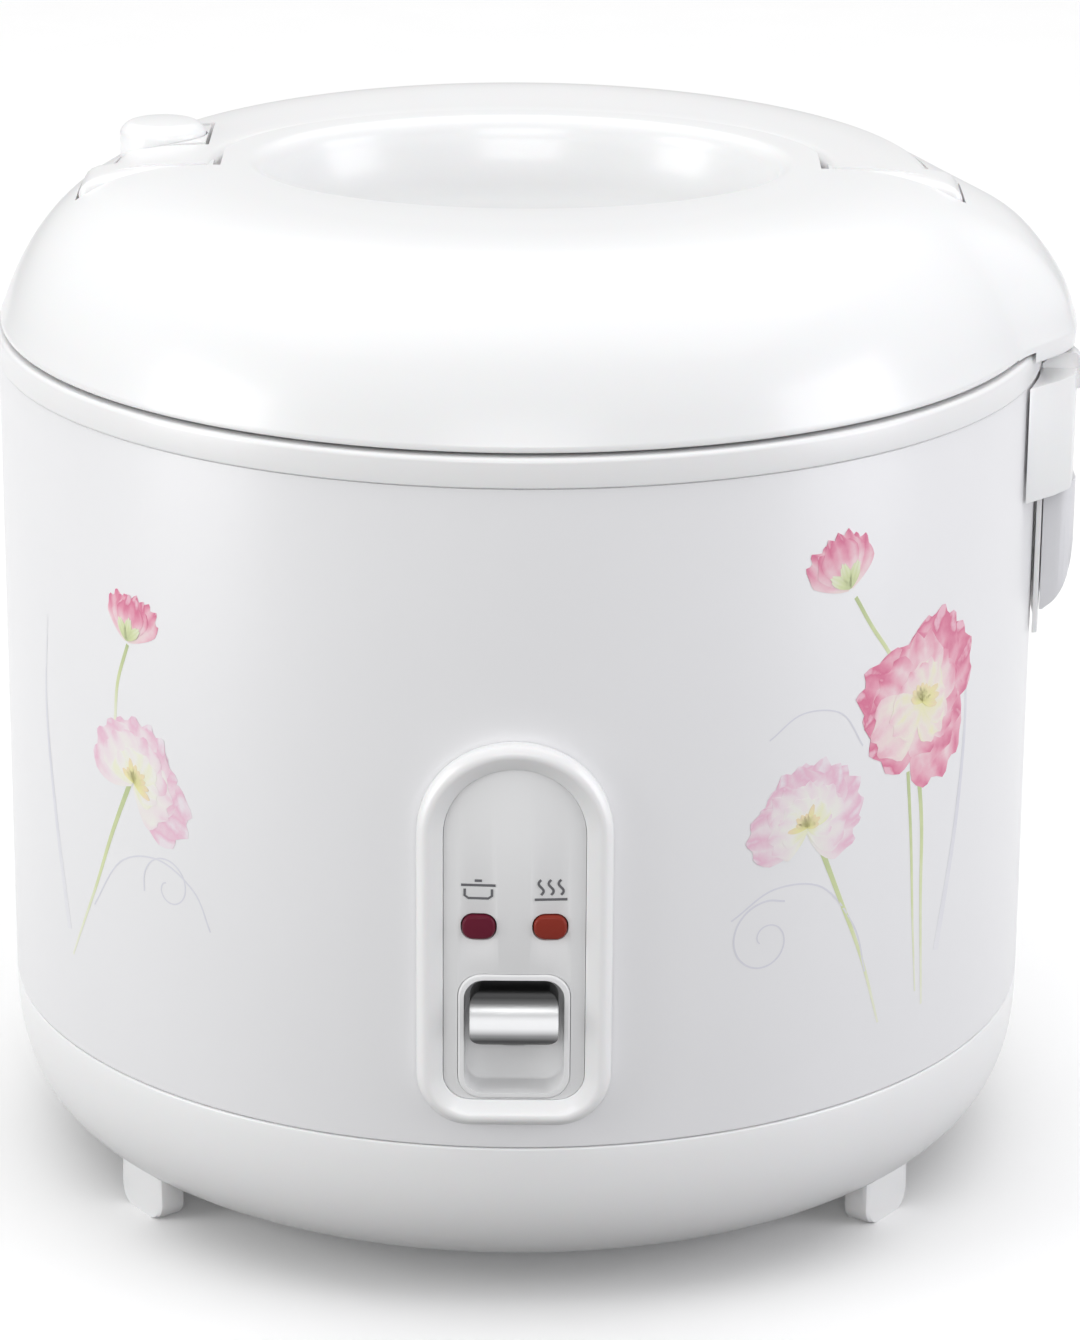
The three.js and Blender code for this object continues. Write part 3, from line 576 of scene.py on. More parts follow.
def make_base():
    """The base bowl, which tucks under the wall and holds the underside cover."""
    outer = corner_curve(93, UNDERSIDE, 32, BASE_TOP - UNDERSIDE, 26)
    inner = corner_curve(92.6, 12.9, 29.2, 29.1, 12)[::-1]
    top = fillet([outer[-2], outer[-1], (123.6, BASE_TOP), (123.6, 50), (121.8, 50)], [0, 0.5, 0, 0, 0],
                 closed=False)
    rebate = [(84, 12.9), (84, 10.7), (92.5, 10.7), (92.5, UNDERSIDE)]
    base = lathe("base", outer[:-1] + top[1:] + inner + rebate, SHELL_STEPS)
    finished(base, "base_bowl", "gloss", "body", "base_shell")


def screw_places():
    turns = [math.radians(a) for a in (45, 135, 225, 315)]
    return [(SCREW_CIRCLE * math.cos(a), SCREW_CIRCLE * math.sin(a)) for a in turns]


def make_cover():
    """The underside's plate, with sunk screw holes and two rows of air slots."""
    profile = [(0, UNDERSIDE), (92.2, UNDERSIDE), (92.2, 10.4), (0, 10.4)]
    cover = lathe("cover", fillet(profile, [0, 0.5, 0, 0], closed=False))
    for x, y in screw_places():
        cut(cover, disc(3.3, 7, 9.6, 32, (x, y)), disc(1.7, 7, 12, 24, (x, y)))
    for side in (-1, 1):
        for k in (-1, 0, 1):
            outline = rounded_rect(k * 9 - 1.8, k * 9 + 1.8, side * 45 - 12, side * 45 + 12, 1.7)
            cut(cover, prism(outline, 7, 12))
    finished(cover, "underside_cover", "steel", "body", "bottom_cover")


def make_screws():
    """Cross-head screws, each turned a little further than the last."""
    profile = [(0, 8.1), (2.4, 8.1), (2.9, 8.35), (3, 8.7), (3, 9.3), (1.3, 9.3), (1.3, 16.4), (0, 16.4)]
    for number, (x, y) in enumerate(screw_places(), 1):
        head = lathe("screw", profile, 32, (x, y))
        for turn in (0, 90):
            a = math.radians(turn + 20 * number)
            slot_points = [(x + u * math.cos(a) - v * math.sin(a), y + u * math.sin(a) + v * math.cos(a))
                           for u, v in ((-1.7, -0.35), (1.7, -0.35), (1.7, 0.35), (-1.7, 0.35))]
            cut(head, prism(slot_points, 7.5, 8.9))
        finished(head, f"cover_fastener_{number}", "steel", "body", f"cover_screw_{number}")


def make_feet():
    """Four rounded fins that the bowl of the base sits on."""
    outline = fillet([(-9.5, 0), (9.5, 0), (9.0, 24), (-9.0, 24)], [4.6, 4.6, 1, 1], steps=8)
    depths = [(104.5, 1.0), (105.0, 0.3), (105.6, 0.0), (110.2, 0.0), (111.0, 0.4), (111.45, 1.3)]
    bowl = [(0, 7.7), *corner_curve(93, 7.7, 32.3, 36, 24), (125.3, 60), (0, 60)]
    for place, degrees in FOOT_ANGLES.items():
        a = math.radians(degrees)
        out, side = np.array([math.cos(a), math.sin(a)]), np.array([-math.sin(a), math.cos(a)])
        loops = [[(*(out * r + side * u * (1 - inset / 9.5)), z) for u, z in outline] for r, inset in depths]
        foot = cut(skin("foot", loops), lathe("over", bowl, 128))
        finished(foot, f"foot_fin_{place}", "gloss", "body", f"foot_{place}")


# ---- Control panel ----

def on_wall(x, z, r):
    """A point at that radius on the front wall, for a width measured straight across."""
    return (x, -math.sqrt(r * r - x * x), z)


def make_bezel():
    """The raised rim round the panel, one section swept round its outline."""
    section = fillet([(0.0, 125.3), (0.0, 127.8), (2.0, 129.5), (6.0, 127.3), (6.0, 124.4), (3.0, 125.3)],
                     [0.2, 1.6, 2.6, 0.4, 0.2, 0.2], steps=7)
    loops = [[on_wall(x, z, r) for x, z in panel_outline(inset)] for inset, r in section]
    finished(skin("bezel", loops, closed=True), "panel_rim", "gloss", "body", "control_bezel", angle=60)


def pill(side, grow=0.0):
    """A lamp window's outline."""
    w, h = 3.75 + grow, 2.9 + grow
    x, z = side * PANEL["lamp_x"], PANEL["lamp_z"]
    return rounded_rect(x - w, x + w, z - h, z + h, h - 0.3, steps=8)


def tub_outline(inset, r):
    half = TUB["half"] - inset
    return rounded_rect(-half, half, TUB["bottom"] + inset, TUB["top"] - inset, r, steps=10)


def make_face():
    """The panel's face, which follows the wall, with holes for the lamps and the switch tub."""
    r = PANEL["face"]
    face = lathe("face", [(124.2, 45), (r, 45), (r, 150), (124.2, 150)], 720)
    keep(face, prism(panel_outline(PANEL["rim"] + 0.12), -140, -100, "y"))
    cut(face, prism(tub_outline(-0.15, 5.6), *PANEL_PLANES, "y"))
    for side in (-1, 1):
        cut(face, prism(pill(side, 0.3), *PANEL_PLANES, "y"))
    bevelled(face, 0.2, 2)
    finished(face, "panel_face", "panel", "body", "control_face")


def make_lenses():
    for side, name in ((-1, "cook"), (1, "warm")):
        lens = bevelled(prism(pill(side), -127.5, -123.6, "y"), 0.8, 4)
        finished(lens, f"{name}_window", f"{name}_lens", "body", f"{name}_lens", angle=50)


def make_well():
    """The tub that the switch moves in, with a soft lip that stands a little proud of the face."""
    well = bevelled(prism(tub_outline(0, 5.5), -127.0, -117, "y"), 0.5, 4)
    hollow = prism(tub_outline(1.3, 4.4), -130, -118.5, "y")
    cut(well, bevelled(hollow, 0.6, 3), box(-2.4, 2.4, -120, -115, 66.8, 79.7))
    finished(well, "switch_tub", "panel", "body", "switch_well", angle=60)


def make_knob():
    """The switch's cap, which bulges forwards like a barrel, with its stem."""
    knob = prism(rounded_rect(-10, 10, 70, 83.5, 3.2, steps=8), -129.3, -120.5, "y")
    front = prism(circle(8.1, 128, (-121.1, 76.75)), -20, 20, "x")
    join(front, box(-20, 20, -123.6, -119, 69, 84.5))
    keep(knob, front)
    bevelled(knob, 1.1, 5, 40)
    join(knob, box(-2, 2, -121.2, -108, 74.5, 79))
    finished(knob, "switch_cap", "silver", "cook_switch", "switch_knob", angle=60)


def ribbon_on_wall(points, widths, r, thick=0.06, tints=None):
    """A thin printed line that hugs the wall through (across, up) points, as its points, faces and tints."""
    p = np.array(points, float)
    along = np.gradient(p, axis=0)
    along /= np.linalg.norm(along, axis=1)[:, None]
    normal = np.stack([-along[:, 1], along[:, 0]], 1)
    w = np.array(widths)[:, None] / 2
    left, right = p + normal * w, p - normal * w
    verts = []
    for edge, radius in ((left, r), (right, r), (right, r + thick), (left, r + thick)):
        verts += [(radius * math.sin(s / RADIUS), -radius * math.cos(s / RADIUS), z) for s, z in edge]
    n = len(p)
    faces = [(k * n + i, k * n + i + 1, (k + 1) % 4 * n + i + 1, (k + 1) % 4 * n + i)
             for k in range(4) for i in range(n - 1)]
    faces += [(0, n, 2 * n, 3 * n), (n - 1, 4 * n - 1, 3 * n - 1, 2 * n - 1)]
    return verts, faces, list([0.5] * n if tints is None else tints) * 4


def printed(name, ink, parts):
    """A printed mark on the body in its own ink, from parts that each have points, faces and tints."""
    verts, faces, tints = [], [], []
    for part_verts, part_faces, part_tints in parts:
        faces += [tuple(i + len(verts) for i in face) for face in part_faces]
        verts += part_verts
        tints += part_tints
    obj = mesh_object(name, verts, faces, weld=False)
    layer = obj.data.attributes.new("tint", "FLOAT", "POINT")
    layer.data.foreach_set("value", np.array(tints, np.float32))
    obj.data.materials.append(INK[ink])
    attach(obj, "body")


def mark_line(points, width=0.55):
    return ribbon_on_wall(points, [width] * len(points), PANEL["face"] + 0.03)


def make_marks():
    """Two plain marks over the lamps: a pot for cooking and rising steam for keeping warm."""
    x, z = PANEL["lamp_x"], PANEL["mark_z"]
    pot = [(-x - 3, z + 2.2), (-x - 3, z + 0.6), (-x - 2.2, z),
           (-x + 2.2, z), (-x + 3, z + 0.6), (-x + 3, z + 2.2)]
    lid = [(-x - 3.8, z + 3.1), (-x + 3.8, z + 3.1)]
    knob = [(-x - 0.8, z + 4.2), (-x + 0.8, z + 4.2)]
    printed("mark_pot", "mark", [mark_line(pot), mark_line(lid, 0.6), mark_line(knob, 0.6)])
    waves, rise = [], np.linspace(0, 1, 14)
    for shift in (-2.2, 0, 2.2):
        wave = [(x + shift + 0.55 * math.sin(2 * math.pi * q), z + 0.9 + 3.6 * q) for q in rise]
        waves.append(mark_line(wave))
    waves.append(mark_line([(x - 3.6, z - 0.2), (x + 3.6, z - 0.2)], 0.6))
    printed("mark_steam", "mark", waves)


# ---- Printed flowers, of a plain garden kind ----

def petal(az, z0, angle, length, width, lift, tint_from, tint_to, ruffle=0.05, phase=0.0):
    """A ruffled petal on the wall, growing from (az, z0) towards angle, as its points, faces and tints."""
    rows, cols = 9, 11
    a = math.radians(angle)
    out, side = np.array([math.cos(a), math.sin(a)]), np.array([-math.sin(a), math.cos(a)])
    grid, tint = [], []
    for i in range(rows):
        t = i / (rows - 1)
        half = width * (0.16 + 0.84 * math.sin(math.pi * min(t ** 0.85 * 0.62, 0.5)))
        half *= 1 - 0.25 * max(0, t - 0.8) / 0.2
        for j in range(cols):
            v = 2 * j / (cols - 1) - 1
            tip = 1 - 0.16 * v * v * t + ruffle * t * t * math.sin(2.4 * math.pi * v + phase)
            p = out * (length * t * tip) + side * half * v * (1 + 0.05 * math.sin(5.1 * t + phase))
            grid.append(p)
            fold = 0.16 * math.sin(2.6 * math.pi * v + phase) * t
            tint.append(float(np.clip(tint_from + (tint_to - tint_from) * (0.15 + 0.85 * t) + fold, 0, 1)))
    centre = RADIUS * math.radians(az)
    verts = []
    for radius in (RADIUS + lift, RADIUS + lift + 0.04):
        for p in grid:
            s = (centre + p[0]) / RADIUS
            verts.append((radius * math.sin(s), -radius * math.cos(s), z0 + p[1]))
    n = rows * cols
    faces = []
    for i in range(rows - 1):
        for j in range(cols - 1):
            q = [i * cols + j, i * cols + j + 1, (i + 1) * cols + j + 1, (i + 1) * cols + j]
            faces += [tuple(q), tuple(n + k for k in reversed(q))]
    border = list(range(cols)) + [i * cols + cols - 1 for i in range(1, rows)]
    border += [(rows - 1) * cols + j for j in range(cols - 2, -1, -1)]
    border += [i * cols for i in range(rows - 2, 0, -1)]
    faces += [(a, b, n + b, n + a) for a, b in zip(border, border[1:] + border[:1])]
    return verts, faces, tint + tint


def flower(name, az, z, size, tilt, ink, petals, seed, opening):
    """An open bloom with broad, ruffled petals in three layers round a pale heart."""
    rng = np.random.default_rng(seed)
    parts = []
    layers = ((1.0, 0.56, 0.3, 0.98), (0.76, 0.46, 0.12, 0.78), (0.5, 0.34, 0.0, 0.5))
    for depth, (reach, wide, low, high) in enumerate(layers):
        count = petals - depth
        for k in range(count):
            angle = tilt + (k - (count - 1) / 2) * opening / count + rng.uniform(-9, 9)
            lift = 0.02 + 0.05 * (depth + k / count)
            parts.append(petal(az, z, angle, size * reach * rng.uniform(0.8, 1.1),
                               size * wide * rng.uniform(0.8, 1.1), lift,
                               low + rng.uniform(-0.15, 0.1), high + rng.uniform(-0.25, 0.05),
                               rng.uniform(0.04, 0.08), rng.uniform(0, 6.28)))
    printed(name, ink, parts)
    hearts = [petal(az, z, tilt + (k - 4) * 22, size * rng.uniform(0.2, 0.36), size * 0.05, 0.2,
                    0.0, 1.0, 0.02) for k in range(9)]
    printed(name + "_heart", "heart", hearts)


def bud(name, az, z, size, tilt, ink, seed):
    """A closed bloom with three sepals."""
    rng = np.random.default_rng(seed)
    parts = [petal(az, z, tilt + turn, size * rng.uniform(0.85, 1.05), size * 0.36, 0.02 + 0.02 * k, 0.25,
                   rng.uniform(0.75, 1.0), 0.06, rng.uniform(0, 6.28))
             for k, turn in enumerate((-34, 30, -12, 14, 0))]
    printed(name, ink, parts)
    sepals = [petal(az, z, tilt + turn, size * 0.45, size * 0.1, 0.16, 0.1, 0.8) for turn in (-40, 0, 38)]
    printed(name + "_sepals", "stem", sepals)


def line_on_body(name, points, w0, w1, ink, fade=True):
    """A stem or swirl through (azimuth, height) points."""
    curve = smooth_curve([(RADIUS * math.radians(az), z) for az, z in points], 8)
    t = np.linspace(0, 1, len(curve))
    printed(name, ink, [ribbon_on_wall(curve, w0 + (w1 - w0) * t, RADIUS + 0.012, 0.03, t if fade else None)])


def spiral(az, z, size, turns, start, flip=1):
    """A curl on the wall that winds in towards (az, z)."""
    points = []
    for t in np.linspace(0, 1, int(14 * turns)):
        a = math.radians(start) + flip * 2 * math.pi * turns * t
        reach = size * (1 - 0.85 * t)
        points.append((az + math.degrees(reach * math.cos(a) / RADIUS), z + reach * math.sin(a)))
    return points


def make_flowers():
    line_on_body("stem_main", [(47.5, 124), (48.6, 108), (48.9, 88), (49.6, 62)], 1.5, 0.7, "stem")
    line_on_body("stem_main_2", [(46.0, 122), (46.9, 104), (47.6, 84), (48.4, 66)], 1.1, 0.5, "stem")
    line_on_body("stem_low", [(33.2, 112), (36.0, 98), (39.6, 80), (42.4, 62)], 1.5, 0.6, "stem")
    line_on_body("stem_bud", [(37.4, 168), (39.8, 160), (42.6, 152), (44.6, 144)], 1.0, 1.0, "stem")
    line_on_body("swirl_right", spiral(27.0, 90, 10, 1.4, 60), 0.5, 0.3, "swirl", fade=False)
    line_on_body("swirl_right_arc", [(23.0, 96), (28, 102), (34, 100), (38.5, 88), (40.2, 76)], 0.4, 0.5,
                 "swirl", fade=False)
    line_on_body("swirl_right_top", [(27, 138), (31, 143), (36, 141), (39, 132)], 0.35, 0.4,
                 "swirl", fade=False)
    line_on_body("blade_right", [(55.5, 150), (56.5, 130), (55.2, 104), (52.0, 74)], 0.5, 2.2, "swirl")
    flower("flower_low", 31.8, 115.5, 15.5, 95, "pale", 6, 11, 230)
    flower("flower_main", 47.9, 138, 21, 70, "rose", 7, 5, 320)
    bud("bud_right", 36.6, 170.5, 14.5, 112, "rose", 3)
    line_on_body("stem_left_low", [(-45.2, 118), (-48.4, 104), (-51.8, 88), (-56.8, 68)], 1.4, 0.6, "stem")
    line_on_body("stem_left_bud", [(-45.0, 152), (-46.8, 142), (-47.4, 132)], 1.0, 0.9, "stem")
    line_on_body("swirl_left", spiral(-39.5, 96, 8.5, 1.2, 200, -1), 0.4, 0.3, "swirl", fade=False)
    line_on_body("swirl_left_arc", [(-52, 84), (-47, 98), (-41, 102), (-36, 97), (-33.8, 88)], 0.4, 0.4,
                 "swirl", fade=False)
    line_on_body("blade_left", [(-61, 150), (-62, 128), (-60.5, 104), (-57.5, 74)], 0.5, 2.0, "swirl")
    flower("flower_left", -44.4, 119, 17, 58, "pale", 5, 8, 200)
    bud("bud_left", -45.1, 153, 12.5, 78, "rose", 17)


# ---- Hinge and dew collector ----

def hinge_plan(d=0.0):
    """The hinge block's outline from above, grown by d."""
    half = [(140, 20 + d), (134, 22.5 + d), (127, 32 + d), (117, 42 + d), (96, 44 + d)]
    return [(x, -y) for x, y in half] + half[::-1]


def make_bracket():
    """The hinge block on the wall, with a cheek on each side of the spring and a plate that runs down."""
    x, z, cheek = HINGE["x"], HINGE["z"], HINGE["cheek"]
    block = disc(RADIUS - 0.6, 172, 200, centre=(HINGE["shift"], 0))
    keep(block, prism(hinge_plan(), 160, 205))
    pocket = disc(RADIUS - 2.4, 160, 191, centre=(HINGE["shift"], 0))
    keep(pocket, prism(hinge_plan(-1.8), 150, 191))
    plate = band(125.8, 127, 134, 192)
    keep(plate, box(110, 140, -21, 21, 130, 192))
    cut(block, pocket)
    join(block, plate)
    cut(block, box(120, 140, -13, 13, 193.4, 210), box(128, 131.5, -6, 6, 180, 200))
    for side in (-1, 1):
        y0, y1 = sorted((side * 13.3, side * 20.4))
        outline = fillet([(118, 195), (134, 195), (134, z), (x + 4.6, z + 3.2), (x + 2.8, z + cheek),
                          (x - 2.2, z + cheek), (x - 5.4, z + 1.6), (118, z + 1)], [0, 0, 2, 2, 2, 3, 4, 0])
        join(block, prism(outline, y0, y1, "y"))
    cut(block, disc(125.8, 120, 206), prism(circle(2.1, 32, (x, z)), -18.6, 18.6, "y"))
    bevelled(block, 0.9, 3)
    finished(block, "hinge_block", "gloss", "body", "hinge_bracket", angle=40)


def make_dew_cup():
    """The see-through cup that hangs under the hinge block, hollow and open at the top."""
    front, half, low = 133.8, 19.6, 139.5
    side = smooth_curve([(front, 160), (133.4, 153), (131.9, 146.5), (129.6, 142.3), (126.5, low)], 5)

    def cup(inset, z0, z1, corner):
        solid = prism(rounded_rect(100, front - inset, -half + inset, half - inset, corner), z0, z1)
        outline = [(100, low), (100, 182), (front, 182)] + side
        keep(solid, prism([(x - inset, z + inset) for x, z in outline], -30, 30, "y"))
        return cut(solid, disc(127.3 + inset, z0 - 1, z1 + 1))

    outer = bevelled(cup(0, low, 171.5, 5), 1.6, 4, 60)
    cut(outer, cup(1, 140.7, 180, 4))
    finished(outer, "dew_tray", "smoke", "dew_cup", "dew_collector", angle=40)


# ---- Lid ----

def button_solid(grow, z0, z1):
    return disc(BUTTON["r"] + grow, z0, z1, 64, BUTTON_PLACE, BUTTON["flatten"])


def island():
    """The raised part of the lid round the button, which the handle's groove leaves standing."""
    return box(-108, -76.4, BUTTON["y"] - 10.8, BUTTON["y"] + 11.2, 228, 260)


def make_lid():
    """The lid's shell, with a skirt over the hinge, and room for the hand, the handle, the button and the vent."""
    room = cut(handle_room(0), island())
    inside = cut(dome(-WALL, 200), recess(WALL), handle_room(WALL))
    skirt = cut(dome(0, 205.3, 0.6), disc(126.3, 200, LID_FOOT), disc(140, LID_FOOT + 4, 260))
    keep(skirt, box(100, 150, -45, 45, 200, 230))
    lid = join(dome(0, rim=1.1), skirt)
    cut(lid, recess(), room, inside)
    cut(lid, button_solid(0.4, 233.3, 260), disc(3, 225, 240, 24, BUTTON_PLACE))
    cut(lid, disc(7.9, 215, 240, 32, VENT_PLACE))
    finished(lid, "lid_dome", "gloss", "lid", "outer_lid", angle=30)
    # the lid's plastic carries painted shade in its recess
    lid.data.materials[0] = lid_with_painted_recess_shade(glossy("lid_gloss"))


HANDLE_TOP = smooth_curve([(70, 244.2), (80, 244.4), (88, 244.35), (94, 243.7), (98.5, 242.9), (102, 241.9),
                           (105.4, 240.6)], 4)


def handle_top(r, turn):
    """The handle's top, which is highest at the back."""
    z = float(np.interp(r, [p[0] for p in HANDLE_TOP], [p[1] for p in HANDLE_TOP]))
    return z - 0.9 * math.cos(turn) ** 2 * min(1.0, max(0.0, (r - 74) / 20))


def handle_loop(inner, outer, turn, edge):
    """One section of the handle, from its inner top edge round to its inner lower edge."""
    width = np.linalg.norm(outer - inner)
    corner = [(edge * (1 - math.cos(a)), edge * (1 - math.sin(a))) for a in np.linspace(0, math.pi / 2, 8)]
    flat = [(edge + (width - 2 * edge) * q / 8, 0.0) for q in range(1, 8)]
    drops = corner + flat + [(width - d, h) for d, h in corner[::-1]]
    loop = []
    for d, h in drops:
        p = inner + (outer - inner) * d / width
        loop.append((p[0], p[1], handle_top(np.linalg.norm(p), turn) - h))
    return loop + [(*outer, HANDLE["bottom"]), (*inner, HANDLE["bottom"])]


def make_handle():
    """The folded carry handle: a band with rounded edges, and a barrel at each end over its pivot."""
    columns, loops = 160, []
    for k in range(columns + 1):
        u = k / columns
        t, a = math.radians(-3.0 + 186.0 * u), math.radians(-1.5 + 183.0 * u)
        inner = np.array([HANDLE["inner_x"] * math.cos(t), HANDLE["inner_y"] * math.sin(t)])
        outer = HANDLE["outer"] * np.array([math.cos(a), math.sin(a)])
        loops.append(handle_loop(inner, outer, a, 2.6))
    handle = join(skin("handle", loops), handle_end(-1), handle_end(1))
    cut(handle, box(-108, -75.6, BUTTON["y"] - 11.6, BUTTON["y"] + 14.2, 220, 262))
    cut(handle, prism(circle(2.5, 24, (0, HANDLE["pivot_z"])), -79.5, 79.5, "x"))
    finished(handle, "handle_band", "gloss", "handle", "carry_handle", angle=40)


def handle_end(side):
    """A barrel on the pivot line, cut to the handle's top and rounded at its outer end."""
    sections = [(HANDLE["inner_x"], 0.0), (78, 0), (84, 0), (90, 0), (95, 0), (99, 0), (101.5, 0.0),
                (103.0, 0.25), (104.0, 0.75), (104.7, 1.5), (HANDLE["end"], 2.6)]
    loops = []
    for x, inset in sections:
        roof = handle_top(x, 0.0) - HANDLE["pivot_z"] - inset
        loop = []
        for y, z in circle(HANDLE["barrel"] - inset, 56):
            if z > 0:
                z = min(roof * (1 - (1 - min(z / roof, 1.9) / 1.9) ** 1.9), roof)
            loop.append((side * x, y, HANDLE["pivot_z"] + z))
        loops.append(loop)
    return skin("handle_end", loops)


def make_button():
    """The lid release, a hollow cap with a stem."""
    outline = fillet([(0, 236.5), (10.5, 236.5), (10.5, 245.2), (8.6, 247.4), (0, 248.2)],
                     [0, 0.4, 2.5, 6, 0], closed=False, steps=8)
    button = lathe("button", outline, 96, BUTTON_PLACE, BUTTON["flatten"])
    cut(button, disc(8, 230, 245.0, 48, BUTTON_PLACE))
    join(button, disc(2.5, 221, 246, 24, BUTTON_PLACE))
    finished(button, "lid_release", "gloss", "release", "release_button", angle=40)


def make_vent_cap():
    """The steam cap on the recess floor, with two slots and a skirt that plugs the vent."""
    floor = RECESS["floor"]
    outline = fillet([(0, 226.6), (6, 226.6), (6, 214), (7.5, 214), (7.5, floor + 0.4), (11, floor + 0.4),
                      (11, 227.6), (9.8, 228.6), (0, 228.6)],
                     [0, 0.3, 0.3, 0.3, 0, 0.4, 0.8, 1.2, 0], closed=False)
    cap = lathe("vent", outline, 64, VENT_PLACE)
    for x in (-3, 3):
        cut(cap, prism(rounded_rect(x - 1.2, x + 1.2, -23.5, -16.5, 1.1), 225, 230))
    finished(cap, "vent_cap", "gloss", "vent", "steam_vent_cap", angle=40)


# ---- Inside the lid and the body ----

def make_inside():
    """The pot, the casing round it, and the lid's underside, inner sheet and seal."""
    pot = fillet([(0, 78), (97, 78), (97, 202.1), (110, 202.1), (110, 203.7), (95.2, 203.7), (95.2, 79.8),
                  (0, 79.8)], [0, 15, 0.6, 0.7, 0.7, 2.0, 13.2, 0], closed=False, steps=10)
    finished(lathe("pot", pot), "cooking_pot", "nonstick", "body", "inner_pot")
    wall = fillet([(18, 56), (103, 56), (103, 198.7), (107, 198.7), (107, 199.9), (102, 199.9), (102, 57.2),
                   (18, 57.2)], [0, 0.9, 0.5, 0, 0, 0.6, 0.8, 0])
    casing = lathe("casing", wall)
    for side in (-1, 1):
        cut(casing, disc(2.6, 50, 60, 24, (side * 10, 49)))
    finished(casing, "pot_casing", "steel", "body", "inner_wall")
    plate = lathe("plate", [(0, 209), (119.2, 209), (119.2, 211), (0, 211)])
    y = BUTTON["y"]
    cut(plate, box(-118.4, -105, y - 4, y + 4, 200, 212), disc(11.3, 200, 220, 32, VENT_PLACE))
    bevelled(plate, 0.5, 2)
    finished(plate, "lid_underside", "gloss", "lid", "lid_base")
    ripples = [(r, 204.8 + (0.25 if k % 2 else 0)) for k, r in enumerate((20, 24, 70, 73, 92, 95))]
    tops = [(r, z + 1.0) for r, z in ripples[::-1]]
    sheet = lathe("inner_sheet", [(0, 204.8), *ripples, (103.4, 204.8), (103.4, 205.8), *tops, (0, 205.8)])
    cut(sheet, disc(12, 200, 220, 32, VENT_PLACE), disc(4.4, 200, 220, 24))
    finished(sheet, "inner_lid_plate", "aluminium", "lid", "inner_lid")
    seal = fillet([(103.8, 204.4), (108.6, 204.2), (108.6, 205), (106.2, 206.6), (106.2, 208), (103.8, 208)],
                  0.25, steps=3)
    finished(lathe("seal", seal), "lid_seal", "silicone", "lid", "inner_lid_gasket")


def make_spring(name, node, body, place, radius, height, turns):
    """A coil spring, with a mesh of its own."""
    wire, sides, steps = 0.45, 10, 24 * turns
    angles = np.linspace(0, 2 * math.pi * turns, steps + 1)
    x, y, z = place
    loops = []
    for k, a in enumerate(angles):
        rise = z + wire + (height - 2 * wire) * k / steps
        loops.append([(x + (radius + u) * math.cos(a), y + (radius + u) * math.sin(a), rise + v)
                      for u, v in circle(wire, sides)])
    spring = skin(name, loops)
    finished(spring, name, "steel", body, node)
    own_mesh(spring)


def make_springs():
    make_spring("button_coil", "release_spring", "lid",
                (*BUTTON_PLACE, 233.6), 5.2, 11.0, 3)
    make_spring("sensor_coil", "sensor_spring", "body", (0, 0, 53.7), 12.6, 20.9, 3)


def dress_cad():
    """Gives each CAD node that still shows the procedural finish of its slot."""
    slots = {part["node"]: part["material_slot"] for part in frame["record"]["subparts"]}
    for name, obj in frame["nodes"].items():
        if obj.hide_render:
            continue
        obj.data.materials.clear()
        obj.data.materials.append(SLOTS[slots[name]])
        smooth(obj, 30)


# ---- Stage, lights and camera ----

def make_stage():
    """A large sheet of white paper."""
    paper = material("floor_paper", (0.985, 0.985, 0.985), 0.8, mottle=0.004, grain=400, bump=0.01)
    half, cells = 1500.0, 8
    ticks = [half * (2 * k / cells - 1) for k in range(cells + 1)]
    points = [(x, y, 0.0) for y in ticks for x in ticks]
    row = cells + 1
    faces = [(j * row + i, j * row + i + 1, (j + 1) * row + i + 1, (j + 1) * row + i)
             for j in range(cells) for i in range(cells)]
    floor = mesh_object("paper_floor", points, faces)
    floor.data.materials.append(paper)
    floor.visible_diffuse = False


def area_light(name, place, target, size, power, color=(1, 1, 1)):
    data = bpy.data.lights.new(name, "AREA")
    data.shape = "RECTANGLE"
    data.size, data.size_y = size
    data.energy = power
    data.color = color
    light = bpy.data.objects.new(name, data)
    light.location = place
    light.rotation_euler = (Vector(target) - Vector(place)).to_track_quat("-Z", "Y").to_euler()
    bpy.context.scene.collection.objects.link(light)


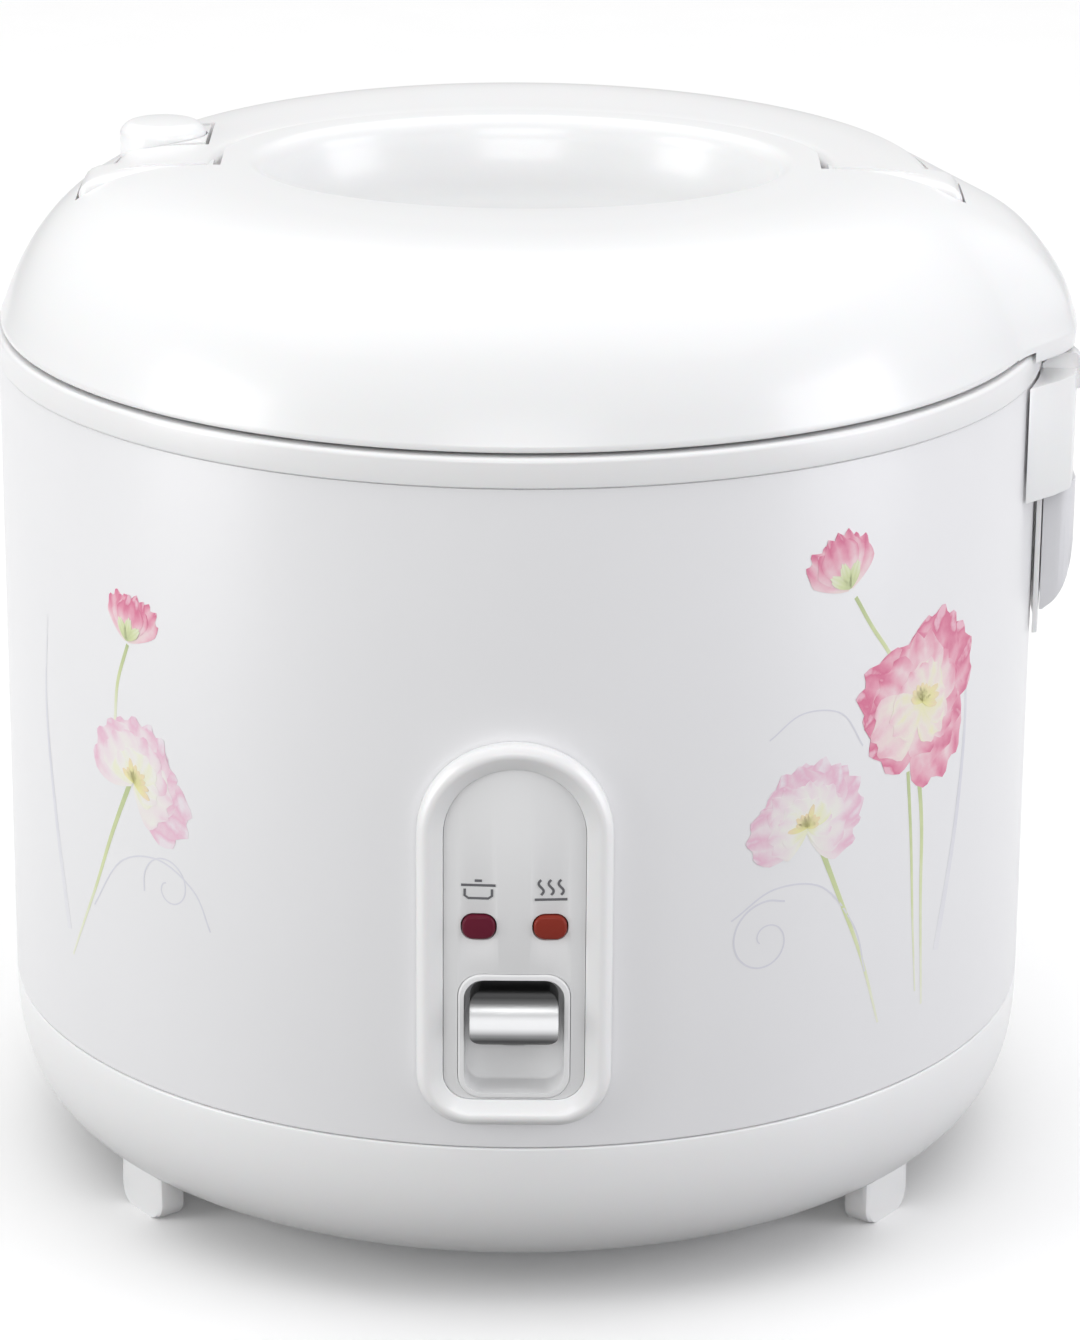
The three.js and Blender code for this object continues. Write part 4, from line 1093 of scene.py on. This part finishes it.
def make_lights():
    """A very large soft box overhead and behind, smaller ones at the sides and in front, in a white room."""
    world = bpy.data.worlds.new("studio")
    world.use_nodes = True
    tree = world.node_tree
    background = found(tree, "BACKGROUND")
    background.inputs["Color"].default_value = (1, 1, 1, 1)
    place = add_node(tree, "TexCoord")
    split = add_node(tree, "SeparateXYZ")
    level = add_node(tree, "MapRange", {"From Min": -0.25, "From Max": 0.05, "To Min": 0.1, "To Max": 0.58})
    rays = add_node(tree, "LightPath")
    seen = add_node(tree, "Math", operation="MAXIMUM")  # the room itself looks white
    link(place, "Generated", split, "Vector")
    link(split, "Z", level, "Value")
    link(level, "Result", seen, 0)
    link(rays, "Is Camera Ray", seen, 1)
    link(seen, "Value", background, "Strength")
    bpy.context.scene.world = world
    area_light("overhead", (0, 0.8, 2.4), (0, 0.7, 0), (4.2, 4.2), 46)
    area_light("side_left", (-1.3, -0.5, 0.3), (0, 0, 0.1), (0.7, 1.1), 10.2)
    area_light("side_right", (1.3, -0.4, 0.3), (0, 0, 0.1), (0.7, 1.1), 9.0, (0.96, 0.96, 1))
    area_light("front", (0, -2.3, 1.0), (0, 0, 0.15), (1.2, 0.5), 9)
    bpy.context.scene.view_settings.view_transform = "Standard"


def make_camera():
    """The photograph's view: half a metre up and a little over a metre away, looking down 18.8 degrees."""
    data = bpy.data.cameras.new("camera")
    data.lens = 129.19
    data.sensor_width = 36.0
    camera = bpy.data.objects.new("camera", data)
    camera.location = (AXIS[0] + 0.0045, AXIS[1] - 1.1239, 0.4997)
    aim = Euler((math.radians(90 - 18.83), 0.0, math.radians(-0.045))).to_matrix()
    camera.rotation_euler = (aim @ Matrix.Rotation(math.radians(0.4), 3, "Z")).to_euler()
    bpy.context.scene.collection.objects.link(camera)
    bpy.context.scene.camera = camera


make_camera()
make_stage()
make_lights()
make_shell()
make_ring()
make_base()
make_cover()
make_screws()
make_feet()
make_bezel()
make_face()
make_lenses()
make_well()
make_knob()
make_marks()
make_flowers()
make_bracket()
make_dew_cup()
make_lid()
make_handle()
make_button()
make_vent_cap()
make_inside()
make_springs()
dress_cad()
